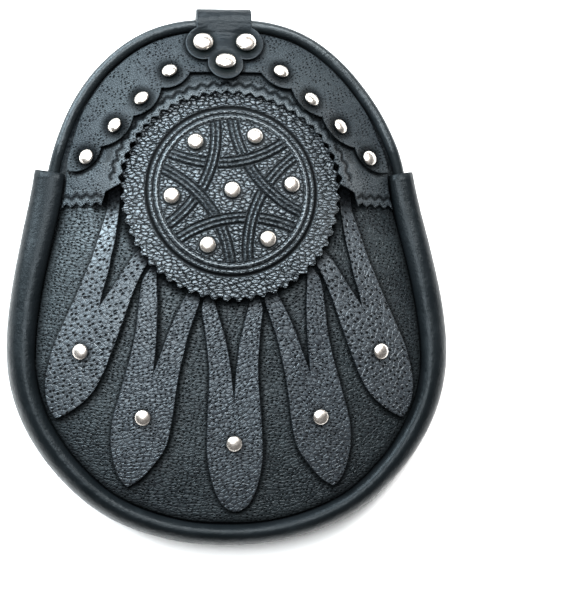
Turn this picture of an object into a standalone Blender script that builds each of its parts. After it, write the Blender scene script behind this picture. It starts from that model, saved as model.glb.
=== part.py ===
# Sporran pouch of black leather, lying on its back with its front up.
# X runs across, +Y runs up to the hinged top edge, +Z is the front. The origin is under the middle.

import math

import bmesh
import bpy
import numpy as np
from mathutils import Matrix, Vector

MM = 0.001

# Driving sizes
HALF_WIDTH = 86.1 * MM          # back panel, centre line to its widest edge
HALF_HEIGHT = 106.8 * MM        # back panel, middle to its top or bottom edge
CROWN = 36.0 * MM               # height of the front leather at its middle
MEDALLION_RADIUS = 44.6 * MM
BACK_THICK = 2.5 * MM
LEATHER = 2.0 * MM              # flap, front panel, medallion and gusset
THIN_LEATHER = 1.8 * MM         # feathers and scalloped band
TAB_THICK = 2.2 * MM
GAP = 0.4 * MM                  # clearance between layers that touch
BAND_GAP = 0.7 * MM             # the band bridges the flap's step, so it lies a little freer

# Outer shape
SHOULDER = 0.406 * HALF_HEIGHT          # where the rolled edge stops at each side
SHOULDER_BLEND = 7.0 * MM
LOWER_SIDE = -0.28 * HALF_HEIGHT        # the rolled edge and its seam narrow from here to the bottom
TOP_RISE = 3.0 * MM                     # the back panel's top bends up over the tab's back end
RISE_FROM = 0.51 * HALF_HEIGHT
RISE_TO = 0.74 * HALF_HEIGHT
TOP_LEAN = 1.6 * MM                     # the arch leans this far to the left
LEAN_BOTTOM = 0.37 * HALF_HEIGHT
LEAN_TOP = 0.83 * HALF_HEIGHT
SEAM_ARCH = 5.6 * MM                    # back panel's edge to the seam line, round the arch
SEAM_SIDE = 7.0 * MM
SEAM_BOTTOM = 6.0 * MM
PIPING_RADIUS = 2.7 * MM
PIPING_SHIFT = 1.3 * MM                 # the piping lies this much further out at the shoulders
SHIFT_LENGTH = 0.3 * HALF_HEIGHT
PIPING_TUCK = 2.5 * MM                  # its ends go this far into the rolled edge
PIPING_END = 0.2 * CROWN                # centre of its ends above the ground
PIPING_LIFT = 1.2 * MM                  # the sides of the piping stand this much above its top
ROLL_OUT = 5.5 * MM                     # bulge of the rolled edge past the back panel, at the sides
ROLL_OUT_BOTTOM = 4.2 * MM
ROLL_LEAN = 1.0 * MM                    # the left shoulder bulges more than the right one by twice this
ROLL_RISE_SIDE = 4.8 * MM               # top of the rolled edge above the seam, at the shoulders
ROLL_RISE_BOTTOM = 2.8 * MM
ROLL_LIP = 0.8 * MM                     # the roll's inner lip ends this far below the front panel

# Medallion
MEDALLION_CENTRE = (0.0, 0.317 * HALF_HEIGHT)
MEDALLION_TEETH = 56
TOOTH_DEPTH = 1.6 * MM
TOOTH_PITCH = 4.65 * MM
RELIEF = 0.6 * MM                       # how far the tooled rings and bands stand up
RELIEF_ROOT = 1.0 * MM                  # how deep they are rooted in the leather
RING_INNER = 0.666 * MEDALLION_RADIUS
RING_OUTER = 0.700 * MEDALLION_RADIUS
BAND_WIDTH = 3.5 * MM                   # one tooled band of the interlace
BAND_ARC = 1.043 * MEDALLION_RADIUS     # its radius of curvature
BAND_REACH = 0.253 * MEDALLION_RADIUS   # its nearest point to the middle
BAND_TURN = 35.3                        # degrees, bearing of the first band's nearest point
BAND_SPREAD = 0.66                      # a band's half length as a share of its arc inside the ring
RIVET_CIRCLE = 0.540 * MEDALLION_RADIUS
RIVET_TURN = 5.6                        # degrees

# Rivet caps
SMALL_CAP = 6.4 * MM
SMALL_CAP_HEIGHT = 2.0 * MM
LARGE_CAP = 8.4 * MM
LARGE_CAP_HEIGHT = 2.6 * MM

# Feathers
SKIRT_HALF = 0.872 * HALF_WIDTH         # centre line to the outermost edge
SKIRT_DEPTH = 1.213 * HALF_HEIGHT       # medallion centre to the lowest tip

# Hanger tab: a neck and three round lobes
TAB_NECK = 11.4 * MM                    # half the width of the fold and the back leg
TAB_LOBE = 7.2 * MM
LOBE_SPREAD = 8.8 * MM                  # upper lobes' centres from the centre line
LOBE_LEVEL = HALF_HEIGHT - 11.1 * MM
LOBE_DROP = 8.9 * MM                    # from the upper lobes' centres down to the lower one's
TAB_TOP = HALF_HEIGHT + 4.2 * MM        # outside of the fold over the top edge
TAB_SEAT = HALF_HEIGHT - 5.0 * MM       # the fold starts above this level
TAB_END = HALF_HEIGHT - 34.0 * MM       # end of the leg on the back
FOLD_CENTRE = HALF_HEIGHT - 2.4 * MM
FOLD_SQUARE = 0.78                      # under 1 squares the fold off, so that it clears the back panel

# Flap
ARCH_TOP = MEDALLION_RADIUS - 5.0 * MM  # flap's cut edge to the medallion centre, at the top
ARCH_SIDE = MEDALLION_RADIUS - 0.4 * MM
ARCH_FOOT = 4.0                         # degrees above level where the arch's cut edge ends
STEP_IN = MEDALLION_RADIUS + 0.8 * MM   # the flap steps down off the medallion between these radii
STEP_OUT = MEDALLION_RADIUS + 12.9 * MM
NOTCH_TOP = (MEDALLION_RADIUS + 6.0 * MM, MEDALLION_CENTRE[1] - 0.2 * MM)
WING_TIP = (MEDALLION_RADIUS + 7.6 * MM, MEDALLION_CENTRE[1] - 5.8 * MM)
WING_END = MEDALLION_CENTRE[1] - 6.4 * MM

# Steps of the faceted leather
SHEET_GRID = 12.0 * MM
FINE_GRID = 4.0 * MM
FINE_MARGIN = 2.0 * MM                  # the fine grid reaches this far past the flap's step
CENTRE_CLEAR = 1.0 * MM                 # no outline point lies nearer to the centre line than this
MERGE = 0.001 * MM

# Back panel's outline: share of HALF_WIDTH, share of HALF_HEIGHT
OUTLINE = (
    (0.000, 1.000), (0.130, 0.999), (0.225, 0.990), (0.350, 0.961), (0.461, 0.914), (0.557, 0.853),
    (0.642, 0.781), (0.740, 0.667), (0.801, 0.550), (0.848, 0.420), (0.873, 0.305), (0.907, 0.188),
    (0.938, 0.074), (0.968, -0.043), (0.989, -0.157), (1.000, -0.270), (0.996, -0.370),
    (0.967, -0.480), (0.905, -0.596), (0.820, -0.702), (0.755, -0.762), (0.680, -0.822),
    (0.566, -0.891), (0.410, -0.947), (0.254, -0.983), (0.130, -0.997), (0.000, -1.000),
)

# Front leather round its seam: bearing in degrees, height as a share of CROWN, how sharply it falls there
SEAM_HEIGHTS = (
    (-90, 0.722, 3.2), (-60, 0.694, 3.2), (-30, 0.611, 3.0), (0, 0.458, 2.9),
    (27, 0.264, 2.5), (50, 0.167, 2.1), (70, 0.156, 2.0), (90, 0.156, 2.0),
)

# Section of the rolled edge: share of the bulge (out) or of the seam inset (in), share of its height
ROLL_SECTION = (
    ("out", -0.06, 0.10), ("out", 0.62, 0.20), ("out", 0.95, 0.38), ("out", 1.00, 0.52),
    ("out", 0.90, 0.70), ("out", 0.55, 0.88), ("in", 0.02, 0.975), ("in", 0.38, 1.00),
    ("in", 0.72, 0.96), ("in", 0.93, 0.87), ("in", 1.00, 0.76),
)

# Feather edges: share of SKIRT_DEPTH down from the medallion centre, share of SKIRT_HALF across
OUTER_FEATHER = (
    (-0.015, 0.640), (0.001, 0.656), (0.060, 0.668), (0.141, 0.713), (0.204, 0.747), (0.319, 0.829),
    (0.459, 0.939), (0.534, 0.980), (0.600, 1.000), (0.659, 0.989), (0.697, 0.958), (0.706, 0.925),
    (0.668, 0.817), (0.621, 0.738), (0.564, 0.684), (0.497, 0.638), (0.409, 0.582), (0.328, 0.534),
    (0.266, 0.488), (0.222, 0.446), (0.195, 0.427), (0.170, 0.468), (0.198, 0.521), (0.232, 0.564),
    (0.275, 0.611), (0.332, 0.677), (0.356, 0.704), (0.316, 0.689), (0.251, 0.657), (0.207, 0.643),
    (0.151, 0.621), (0.070, 0.602), (-0.015, 0.590),
)
MID_FEATHER = (
    (0.207, 0.402), (0.238, 0.433), (0.279, 0.478), (0.353, 0.499), (0.431, 0.514), (0.494, 0.536),
    (0.556, 0.564), (0.634, 0.602), (0.712, 0.639), (0.790, 0.647), (0.861, 0.623), (0.902, 0.590),
    (0.921, 0.556), (0.899, 0.494), (0.861, 0.431), (0.796, 0.353), (0.718, 0.320), (0.631, 0.300),
    (0.568, 0.282), (0.509, 0.260), (0.447, 0.233), (0.400, 0.206), (0.340, 0.172), (0.296, 0.172),
    (0.281, 0.212), (0.322, 0.246), (0.378, 0.296), (0.442, 0.344), (0.500, 0.379), (0.559, 0.418),
    (0.469, 0.404), (0.363, 0.396), (0.251, 0.400), (0.207, 0.376),
)
CENTRE_FEATHER = (
    (0.296, 0.142), (0.335, 0.150), (0.369, 0.164), (0.425, 0.151), (0.503, 0.138), (0.581, 0.133),
    (0.726, 0.148), (0.825, 0.150), (0.914, 0.122), (0.977, 0.071), (1.000, 0.000),
)
CENTRE_SLIT = ((0.642, 0.000), (0.556, 0.013), (0.478, 0.032), (0.416, 0.058), (0.344, 0.092), (0.296, 0.108))
CENTRE_LEAN = 0.039             # the centre feather drifts to +X by this share of its drop
LEAN_FROM = 0.37
FEATHER_RIVETS = {
    "outer": (0.499, 0.805),
    "mid": (0.701, 0.475),
}
CENTRE_RIVET = (0.782, 0.012)

# Scalloped band: share of HALF_WIDTH, share of HALF_HEIGHT
BAND_CUSPS = ((0.170, 0.775), (0.309, 0.713), (0.447, 0.603), (0.604, 0.491), (0.727, 0.397))
BAND_RIVETS = ((0.264, 0.780), (0.403, 0.673), (0.534, 0.570), (0.676, 0.453))
SCALLOP_SAG = 0.17              # depth of a scallop as a share of its chord


def clear_scene():
    for item in list(bpy.data.objects):
        bpy.data.objects.remove(item, do_unlink=True)


def new_collection(name):
    group = bpy.data.collections.new(name)
    bpy.context.scene.collection.children.link(group)
    return group


def material(name, color, roughness, metallic=0.0):
    made = bpy.data.materials.new(name)
    made.use_nodes = True
    shader = made.node_tree.nodes["Principled BSDF"]
    shader.inputs["Base Color"].default_value = (*color, 1.0)
    shader.inputs["Roughness"].default_value = roughness
    shader.inputs["Metallic"].default_value = metallic
    made.diffuse_color = (*color, 1.0)
    return made


def smoothstep(low, high, value):
    share = min(max((value - low) / (high - low), 0.0), 1.0)
    return share * share * (3.0 - 2.0 * share)


def smooth_line(points, steps):
    # Catmull-Rom curve through the points, with the same number of steps in each span
    ends = [points[0], *points, points[-1]]
    line = []
    for index in range(1, len(ends) - 2):
        a, b, c, d = (np.array(point, dtype=float) for point in ends[index - 1:index + 3])
        for step in range(steps):
            t = step / steps
            line.append(0.5 * (2 * b + (c - a) * t + (2 * a - 5 * b + 4 * c - d) * t ** 2
                               + (3 * b - a - 3 * c + d) * t ** 3))
    line.append(np.array(points[-1], dtype=float))
    return np.array(line)


def spaced(line, count):
    # The same line with evenly spaced points
    along = np.concatenate([[0.0], np.cumsum(np.linalg.norm(np.diff(line, axis=0), axis=1))])
    places = np.linspace(0.0, along[-1], count)
    return np.stack([np.interp(places, along, line[:, axis]) for axis in range(line.shape[1])], axis=1)


def right_outline():
    # From the middle of the top edge, round the right side, to the middle of the bottom
    points = [(across * HALF_WIDTH, up * HALF_HEIGHT) for across, up in OUTLINE]
    first = (-points[1][0], points[1][1])
    last = (-points[-2][0], points[-2][1])
    line = smooth_line([first, *points, last], 8)
    return line[8:-8]


RIGHT = spaced(right_outline(), 160)
TANGENT = np.gradient(RIGHT, axis=0)
TANGENT /= np.linalg.norm(TANGENT, axis=1)[:, None]
INWARD = np.stack([TANGENT[:, 1], -TANGENT[:, 0]], axis=1)


def seam_inset(y):
    # The seam line lies further in beside the rolled edge than beside the thin piping
    if y > 0:
        share = smoothstep(SHOULDER - SHOULDER_BLEND, SHOULDER + SHOULDER_BLEND, y)
        return SEAM_SIDE + (SEAM_ARCH - SEAM_SIDE) * share
    return float(np.interp(y, (-HALF_HEIGHT, LOWER_SIDE), (SEAM_BOTTOM, SEAM_SIDE)))


def roll_bulge(y, side):
    # Side is +1 on the right and -1 on the left
    bulge = float(np.interp(y, (-HALF_HEIGHT, LOWER_SIDE), (ROLL_OUT_BOTTOM, ROLL_OUT)))
    return bulge - side * ROLL_LEAN * smoothstep(LOWER_SIDE, SHOULDER, y)


def arch_lean(y):
    return -TOP_LEAN * smoothstep(LEAN_BOTTOM, LEAN_TOP, y)


SEAM = np.array([point + inward * seam_inset(point[1]) for point, inward in zip(RIGHT, INWARD)])
SEAM_BEARING = np.degrees(np.arctan2(SEAM[:, 1], SEAM[:, 0]))[::-1]
SEAM_RADIUS = np.linalg.norm(SEAM, axis=1)[::-1]


def seam_height(bearing):
    for low, high in zip(SEAM_HEIGHTS, SEAM_HEIGHTS[1:]):
        if bearing <= high[0]:
            share = 0.5 * smoothstep(low[0], high[0], bearing) + 0.5 * (bearing - low[0]) / (high[0] - low[0])
            return CROWN * (low[1] + (high[1] - low[1]) * share), low[2] + (high[2] - low[2]) * share
    return CROWN * SEAM_HEIGHTS[-1][1], SEAM_HEIGHTS[-1][2]


def front_height(x, y):
    # Top of the front leather: highest in the middle, falling to the seam all round
    radius = math.hypot(x, y)
    if radius < MERGE:
        return CROWN
    bearing = math.degrees(math.atan2(y, abs(x)))
    height, fall = seam_height(bearing)
    share = radius / float(np.interp(bearing, SEAM_BEARING, SEAM_RADIUS))
    return CROWN - (CROWN - height) * min(share, 1.08) ** fall


def back_height(x, y):
    return TOP_RISE * smoothstep(RISE_FROM, RISE_TO, y)


def medallion_radius(x, y):
    return math.hypot(x - MEDALLION_CENTRE[0], y - MEDALLION_CENTRE[1])


def panel_base(x, y):
    return front_height(x, y) - LEATHER


def feather_base(x, y):
    return front_height(x, y) + GAP


def medallion_base(x, y):
    return feather_base(x, y) + THIN_LEATHER + GAP


def flap_base(x, y):
    # The flap lies on the front panel and steps up over the hidden half of the medallion
    lift = medallion_base(x, y) + LEATHER - front_height(x, y)
    share = 1.0 - smoothstep(STEP_IN, STEP_OUT, medallion_radius(x, y))
    return front_height(x, y) + GAP + lift * share


def band_base(x, y):
    return flap_base(x, y) + LEATHER + BAND_GAP


def piping_crest():
    return TOP_RISE + BACK_THICK + GAP + 2 * PIPING_RADIUS + GAP


def tab_base(x, y):
    return max(band_base(x, y) + THIN_LEATHER + GAP, piping_crest())


def mirror(points):
    return [(-x, y) for x, y in reversed(points)]


def flat_plate(name, outlines, thickness):
    # A filled curve, extruded to a plate whose underside is at zero
    curve = bpy.data.curves.new(name, "CURVE")
    curve.dimensions = "2D"
    curve.fill_mode = "BOTH"
    curve.extrude = thickness / 2
    for outline in outlines:
        spline = curve.splines.new("POLY")
        spline.points.add(len(outline) - 1)
        for point, (x, y) in zip(spline.points, outline):
            point.co = (x, y, 0.0, 1.0)
        spline.use_cyclic_u = True
    holder = bpy.data.objects.new(name, curve)
    bpy.context.scene.collection.objects.link(holder)
    bpy.context.view_layer.update()
    mesh = bpy.data.meshes.new_from_object(holder.evaluated_get(bpy.context.evaluated_depsgraph_get()))
    bpy.data.objects.remove(holder, do_unlink=True)
    mesh.name = name
    work = bmesh.new()
    work.from_mesh(mesh)
    bmesh.ops.remove_doubles(work, verts=work.verts, dist=MERGE)
    bmesh.ops.translate(work, verts=work.verts, vec=(0.0, 0.0, thickness / 2))
    bmesh.ops.dissolve_limit(work, angle_limit=math.radians(0.5), verts=work.verts, edges=work.edges)
    bmesh.ops.recalc_face_normals(work, faces=work.faces)
    work.to_mesh(mesh)
    work.free()
    return mesh


def cut_grid(work, step, inside=None):
    # Cuts the plate along square grid lines, so that it can bend
    for axis in (0, 1):
        normal = Vector((1, 0, 0)) if axis == 0 else Vector((0, 1, 0))
        places = [vert.co[axis] for vert in work.verts]
        first = math.ceil(min(places) / step)
        last = math.floor(max(places) / step)
        for line in range(first, last + 1):
            faces = work.faces[:]
            if inside:
                faces = [face for face in faces if inside(face.calc_center_median())]
            edges = {edge for face in faces for edge in face.edges}
            verts = {vert for face in faces for vert in face.verts}
            bmesh.ops.bisect_plane(work, geom=[*verts, *edges, *faces], dist=20 * MERGE,
                                   plane_co=normal * (line * step + 10 * MERGE), plane_no=normal)


def bend(mesh, base, step=SHEET_GRID, fine=None):
    # Raises each point of the flat plate by the height of the surface that it lies on
    work = bmesh.new()
    work.from_mesh(mesh)
    cut_grid(work, step)
    if fine:
        cut_grid(work, FINE_GRID, fine)
    bmesh.ops.triangulate(work, faces=work.faces, quad_method="SHORT_EDGE")
    for vert in work.verts:
        vert.co.z += base(vert.co.x, vert.co.y)
        vert.co.x += arch_lean(vert.co.y)
    bmesh.ops.recalc_face_normals(work, faces=work.faces)
    work.to_mesh(mesh)
    work.free()


def place(name, mesh, group, look, smooth=None):
    made = bpy.data.objects.new(name, mesh)
    group.objects.link(made)
    made.data.materials.clear()
    made.data.materials.append(look)
    if smooth is not None:
        mesh.shade_smooth()
        mesh.set_sharp_from_angle(angle=math.radians(smooth))
    return made


def leather_piece(name, outline, thickness, base, group, look, fine=None, step=SHEET_GRID):
    mesh = flat_plate(name, [outline], thickness)
    bend(mesh, base, step, fine)
    return place(name, mesh, group, look, smooth=30)


def seam_points(y_from, y_to, count, inset=GAP):
    # The right half of the seam line between two heights, a clearance inside it
    inner = np.array([seam + inward * inset for seam, inward in zip(SEAM, INWARD)])
    kept = inner[(inner[:, 1] <= y_from) & (inner[:, 1] >= y_to)]
    return [tuple(point) for point in spaced(kept, count)]


def pinked(points):
    # A cut edge of even teeth along a smooth line: every second point is moved in
    line = np.array(points)
    length = float(np.sum(np.linalg.norm(np.diff(line, axis=0), axis=1)))
    teeth = max(2, round(length / TOOTH_PITCH))
    line = spaced(line, 2 * teeth + 1)
    along = np.gradient(line, axis=0)
    along /= np.linalg.norm(along, axis=1)[:, None]
    side = np.stack([-along[:, 1], along[:, 0]], axis=1)
    line[1::2] -= side[1::2] * TOOTH_DEPTH
    return [tuple(point) for point in line]


def build_back_panel(group, look):
    right = [tuple(point) for point in spaced(RIGHT, 34)]
    outline = right + mirror(right)[1:-1]
    mesh = flat_plate("back_panel", [outline], BACK_THICK)
    work = bmesh.new()
    work.from_mesh(mesh)
    for share in (0.0, 0.25, 0.5, 0.75, 1.0):
        bmesh.ops.bisect_plane(work, geom=[*work.verts, *work.edges, *work.faces], dist=20 * MERGE,
                               plane_co=(0, RISE_FROM + (RISE_TO - RISE_FROM) * share, 0), plane_no=(0, 1, 0))
    work.to_mesh(mesh)
    work.free()
    bend(mesh, back_height, step=HALF_WIDTH * 2)
    return place("back_panel", mesh, group, look, smooth=30)


def build_gusset(group, look):
    # The side wall as a loft of unlike sections, from the right shoulder round to the left one
    stations = spaced(RIGHT[RIGHT[:, 1] <= SHOULDER], 18)
    tangent = np.gradient(stations, axis=0)
    tangent[-1] = (tangent[-1][0], 0.0)
    tangent /= np.linalg.norm(tangent, axis=1)[:, None]
    outward = np.stack([-tangent[:, 1], tangent[:, 0]], axis=1)
    foot = BACK_THICK + GAP
    first = ROLL_SECTION[0][2]
    halves = {1: [], -1: []}
    for side, rows in halves.items():
        for point, out in zip(stations, outward):
            bearing = math.degrees(math.atan2(point[1], point[0]))
            seam, _ = seam_height(bearing)
            height = seam + float(np.interp(bearing, (-10, 27), (ROLL_RISE_BOTTOM, ROLL_RISE_SIDE)))
            row = []
            for way, across, up in ROLL_SECTION:
                reach = across * (roll_bulge(point[1], side) if way == "out" else -seam_inset(point[1]))
                level = foot + (height - foot) * (up - first) / (1.0 - first)
                row.append((side * (point[0] + out[0] * reach), point[1] + out[1] * reach, level))
            lip = row[-1]
            row.append((lip[0], lip[1], seam - LEATHER - ROLL_LIP))
            rows.append(row)
    rows = halves[1] + halves[-1][-2::-1]
    work = bmesh.new()
    grid = [[work.verts.new((x + arch_lean(y), y, z)) for x, y, z in row] for row in rows]
    for near, far in zip(grid, grid[1:]):
        for low in range(len(near) - 1):
            work.faces.new((near[low], near[low + 1], far[low + 1], far[low]))
    mesh = bpy.data.meshes.new("gusset_rim")
    work.to_mesh(mesh)
    work.free()
    made = place("gusset_rim", mesh, group, look, smooth=40)
    shell = made.modifiers.new("wall", "SOLIDIFY")
    shell.thickness = LEATHER
    shell.offset = -1.0
    return made


def build_front_panel(group, look):
    right = seam_points(SHOULDER, -HALF_HEIGHT, 30)
    right = [point for point in right if point[0] > CENTRE_CLEAR] + [(0.0, right[-1][1])]
    outline = right + mirror(right)[1:]
    return leather_piece("front_panel", outline, LEATHER, panel_base, group, look)


def piping_level(y):
    # On the back panel's raised top, higher at the sides to clear the way into the pouch (a guessed
    # height), then down into the hollow of the roll
    seat = TOP_RISE + BACK_THICK + GAP + PIPING_RADIUS
    free = seat + PIPING_LIFT * (1.0 - smoothstep(RISE_FROM, RISE_TO, y))
    return PIPING_END + (free - PIPING_END) * smoothstep(SHOULDER - 2 * GAP, SHOULDER + SHOULDER_BLEND, y)


def build_piping(group, look):
    route = []
    for point, inward in zip(RIGHT, INWARD):
        if point[1] >= SHOULDER - PIPING_TUCK:
            shift = PIPING_SHIFT * (1.0 - smoothstep(SHOULDER, SHOULDER + SHIFT_LENGTH, point[1]))
            route.append(point + inward * (PIPING_RADIUS - shift))
    route = [tuple(point) for point in spaced(np.array(route), 20)]
    route = mirror(route) + route[1:]
    curve = bpy.data.curves.new("top_piping", "CURVE")
    curve.dimensions = "3D"
    curve.bevel_depth = PIPING_RADIUS
    curve.bevel_resolution = 2
    curve.use_fill_caps = True
    spline = curve.splines.new("POLY")
    spline.points.add(len(route) - 1)
    for point, (x, y) in zip(spline.points, route):
        point.co = (x + arch_lean(y), y, piping_level(y), 1.0)
    holder = bpy.data.objects.new("piping_curve", curve)
    bpy.context.scene.collection.objects.link(holder)
    bpy.context.view_layer.update()
    mesh = bpy.data.meshes.new_from_object(holder.evaluated_get(bpy.context.evaluated_depsgraph_get()))
    bpy.data.objects.remove(holder, do_unlink=True)
    work = bmesh.new()
    work.from_mesh(mesh)
    bmesh.ops.remove_doubles(work, verts=work.verts, dist=MERGE)
    bmesh.ops.recalc_face_normals(work, faces=work.faces)
    work.to_mesh(mesh)
    work.free()
    return place("top_piping", mesh, group, look, smooth=50)


def near_medallion(point):
    radius = medallion_radius(point.x, point.y)
    above = point.y > MEDALLION_CENTRE[1] - 2 * FINE_MARGIN
    return above and STEP_IN - FINE_MARGIN < radius < STEP_OUT + FINE_MARGIN


def build_flap(group, look):
    # Outside: the seam line from one wing, over the top, to the other. Inside: a pinked arch and wings.
    outer = seam_points(HALF_HEIGHT, WING_END, 20)
    outer = [(0.0, outer[0][1])] + [point for point in outer if point[0] > CENTRE_CLEAR]
    outer[-1] = (outer[-1][0], WING_END)
    wing = pinked([outer[-1], WING_TIP])
    arch = []
    for step in range(61):
        turn = math.radians(ARCH_FOOT + (180 - 2 * ARCH_FOOT) * step / 60)
        radius = ARCH_TOP + (ARCH_SIDE - ARCH_TOP) * abs(math.cos(turn)) ** 2.5
        arch.append((MEDALLION_CENTRE[0] + radius * math.cos(turn),
                     MEDALLION_CENTRE[1] + radius * math.sin(turn)))
    arch = pinked(arch)
    outline = outer[1:] + wing[1:] + [NOTCH_TOP] + arch + mirror([NOTCH_TOP]) + mirror(wing[1:])
    outline += mirror(outer)
    return leather_piece("flap", outline, LEATHER, flap_base, group, look, fine=near_medallion)


def build_band(group, look):
    cusps = [(across * HALF_WIDTH, up * HALF_HEIGHT) for across, up in BAND_CUSPS]
    outer = seam_points(HALF_HEIGHT, cusps[-1][1], 18)
    outer = [(0.0, outer[0][1])] + [point for point in outer if point[0] > CENTRE_CLEAR]
    edge = []
    for (x_a, y_a), (x_b, y_b) in zip(cusps, cusps[1:]):
        chord = math.hypot(x_b - x_a, y_b - y_a)
        side = ((y_b - y_a) / chord, -(x_b - x_a) / chord)
        for step in range(6):
            share = step / 6
            sag = SCALLOP_SAG * chord * math.sin(math.pi * share) ** 0.8
            edge.append((x_a + (x_b - x_a) * share + side[0] * sag,
                         y_a + (y_b - y_a) * share + side[1] * sag))
    edge.append(cusps[-1])
    edge = list(reversed(edge))
    outline = outer[1:] + edge + mirror(edge) + mirror(outer)
    return leather_piece("scalloped_band", outline, THIN_LEATHER, band_base, group, look, fine=near_medallion)


def fold_route():
    # Underside of the tab at the middle, from the trefoil's seat round the top edge to the back leg's end
    low = TAB_THICK
    high = piping_crest()
    reach = TAB_TOP - TAB_THICK - FOLD_CENTRE
    route = [(TAB_SEAT, high), (FOLD_CENTRE, high)]
    for step in range(1, 24):
        turn = math.pi / 2 - math.pi * step / 24
        across = abs(math.cos(turn)) ** FOLD_SQUARE
        up = math.copysign(abs(math.sin(turn)) ** FOLD_SQUARE, math.sin(turn))
        route.append((FOLD_CENTRE + reach * across, (low + high) / 2 + (high - low) / 2 * up))
    route += [(FOLD_CENTRE, low), (TAB_END, low)]
    return np.array(route)


def lobe_centres():
    return [(LOBE_SPREAD, LOBE_LEVEL), (-LOBE_SPREAD, LOBE_LEVEL), (0.0, LOBE_LEVEL - LOBE_DROP)]


def trefoil_half():
    # The right edge, from the neck round the upper lobe and down to the middle of the lower one
    upper, _, lower = lobe_centres()
    between = math.atan2(LOBE_DROP, LOBE_SPREAD)
    meet = math.acos(math.hypot(LOBE_SPREAD, LOBE_DROP) / 2 / TAB_LOBE)
    neck = math.acos((TAB_NECK - LOBE_SPREAD) / TAB_LOBE)
    turns = [(upper, turn) for turn in np.linspace(neck, between - math.pi + meet, 9)]
    turns += [(lower, turn) for turn in np.linspace(between - meet, -math.pi / 2, 6)[1:]]
    half = [(x + TAB_LOBE * math.cos(turn), y + TAB_LOBE * math.sin(turn)) for (x, y), turn in turns]
    return half[:-1] + [(0.0, half[-1][1])]


def build_tab(group, look):
    # A trefoil plate on the flap whose neck folds round the top edge and lies against the back
    half = trefoil_half()
    route = fold_route()
    along = np.concatenate([[0.0], np.cumsum(np.linalg.norm(np.diff(route, axis=0), axis=1))])
    tangent = np.gradient(route, axis=0)
    tangent /= np.linalg.norm(tangent, axis=1)[:, None]
    outward = np.stack([-tangent[:, 1], tangent[:, 0]], axis=1)
    right = [(TAB_NECK, TAB_SEAT + along[-1]), *half]
    outline = right + mirror(right[:-1])
    mesh = flat_plate("hanger_tab", [outline], TAB_THICK)
    work = bmesh.new()
    work.from_mesh(mesh)
    for place_along in along[1:-1]:
        bmesh.ops.bisect_plane(work, geom=[*work.verts, *work.edges, *work.faces], dist=20 * MERGE,
                               plane_co=(0, TAB_SEAT + place_along, 0), plane_no=(0, 1, 0))
    cut_grid(work, FINE_GRID, lambda point: point.y < TAB_SEAT)
    bmesh.ops.triangulate(work, faces=work.faces)
    for vert in work.verts:
        x, y, up = vert.co
        vert.co.x += arch_lean(min(y, TAB_SEAT))
        if y <= TAB_SEAT:
            vert.co.z = tab_base(x, y) + up
            continue
        spot = [float(np.interp(y - TAB_SEAT, along, route[:, axis])) for axis in (0, 1)]
        out = [float(np.interp(y - TAB_SEAT, along, outward[:, axis])) for axis in (0, 1)]
        vert.co.y = spot[0] + out[0] * up
        vert.co.z = spot[1] + out[1] * up
    bmesh.ops.recalc_face_normals(work, faces=work.faces)
    work.to_mesh(mesh)
    work.free()
    return place("hanger_tab", mesh, group, look, smooth=30)


def build_medallion(group, look):
    teeth = []
    for step in range(2 * MEDALLION_TEETH):
        turn = math.pi * step / MEDALLION_TEETH
        radius = MEDALLION_RADIUS - TOOTH_DEPTH * (step % 2)
        teeth.append((radius * math.cos(turn), radius * math.sin(turn)))
    disc_mesh = flat_plate("medallion", [teeth], LEATHER)
    disc = place("medallion", disc_mesh, group, look)
    relief = []
    circle = [(math.cos(math.tau * step / 40), math.sin(math.tau * step / 40)) for step in range(40)]
    ring = flat_plate("ring", [[(RING_OUTER * x, RING_OUTER * y) for x, y in circle],
                               [(RING_INNER * x, RING_INNER * y) for x, y in circle]], RELIEF + RELIEF_ROOT)
    relief.append(ring)
    spread = math.asin(RING_OUTER / BAND_ARC) * BAND_SPREAD
    for index in range(6):
        middle = math.radians(BAND_TURN + 60 * index)
        far = BAND_REACH + BAND_ARC
        strip = []
        for radius, order in ((BAND_ARC - BAND_WIDTH / 2, 1), (BAND_ARC + BAND_WIDTH / 2, -1)):
            for step in range(-4, 5):
                turn = middle + math.pi + order * spread * step / 4
                strip.append((far * math.cos(middle) + radius * math.cos(turn),
                              far * math.sin(middle) + radius * math.sin(turn)))
        relief.append(flat_plate("band", [strip], RELIEF + RELIEF_ROOT))
    for mesh in relief:
        mesh.transform(Matrix.Translation((0.0, 0.0, LEATHER - RELIEF_ROOT)))
        join_solid(disc, mesh)
    disc.data.transform(Matrix.Translation((*MEDALLION_CENTRE, 0.0)))
    bend(disc.data, medallion_base)
    return disc


def join_solid(target, mesh):
    # Boolean union of a mesh into an object, kept as plain geometry
    tool = bpy.data.objects.new("joined", mesh)
    CUTTERS.objects.link(tool)
    union = target.modifiers.new("join", "BOOLEAN")
    union.operation = "UNION"
    union.object = tool
    bpy.context.view_layer.update()
    joined = bpy.data.meshes.new_from_object(target.evaluated_get(bpy.context.evaluated_depsgraph_get()))
    target.modifiers.remove(union)
    target.data = joined
    bpy.data.objects.remove(tool, do_unlink=True)
    work = bmesh.new()
    work.from_mesh(joined)
    bmesh.ops.dissolve_limit(work, angle_limit=math.radians(0.5), verts=work.verts, edges=work.edges)
    work.to_mesh(joined)
    work.free()


def feather_points(rows):
    centre_y = MEDALLION_CENTRE[1]
    return [(across * SKIRT_HALF, centre_y - down * SKIRT_DEPTH) for down, across in rows]


def leaning(rows):
    return [(down, across + CENTRE_LEAN * max(0.0, down - LEAN_FROM)) for down, across in rows]


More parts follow.
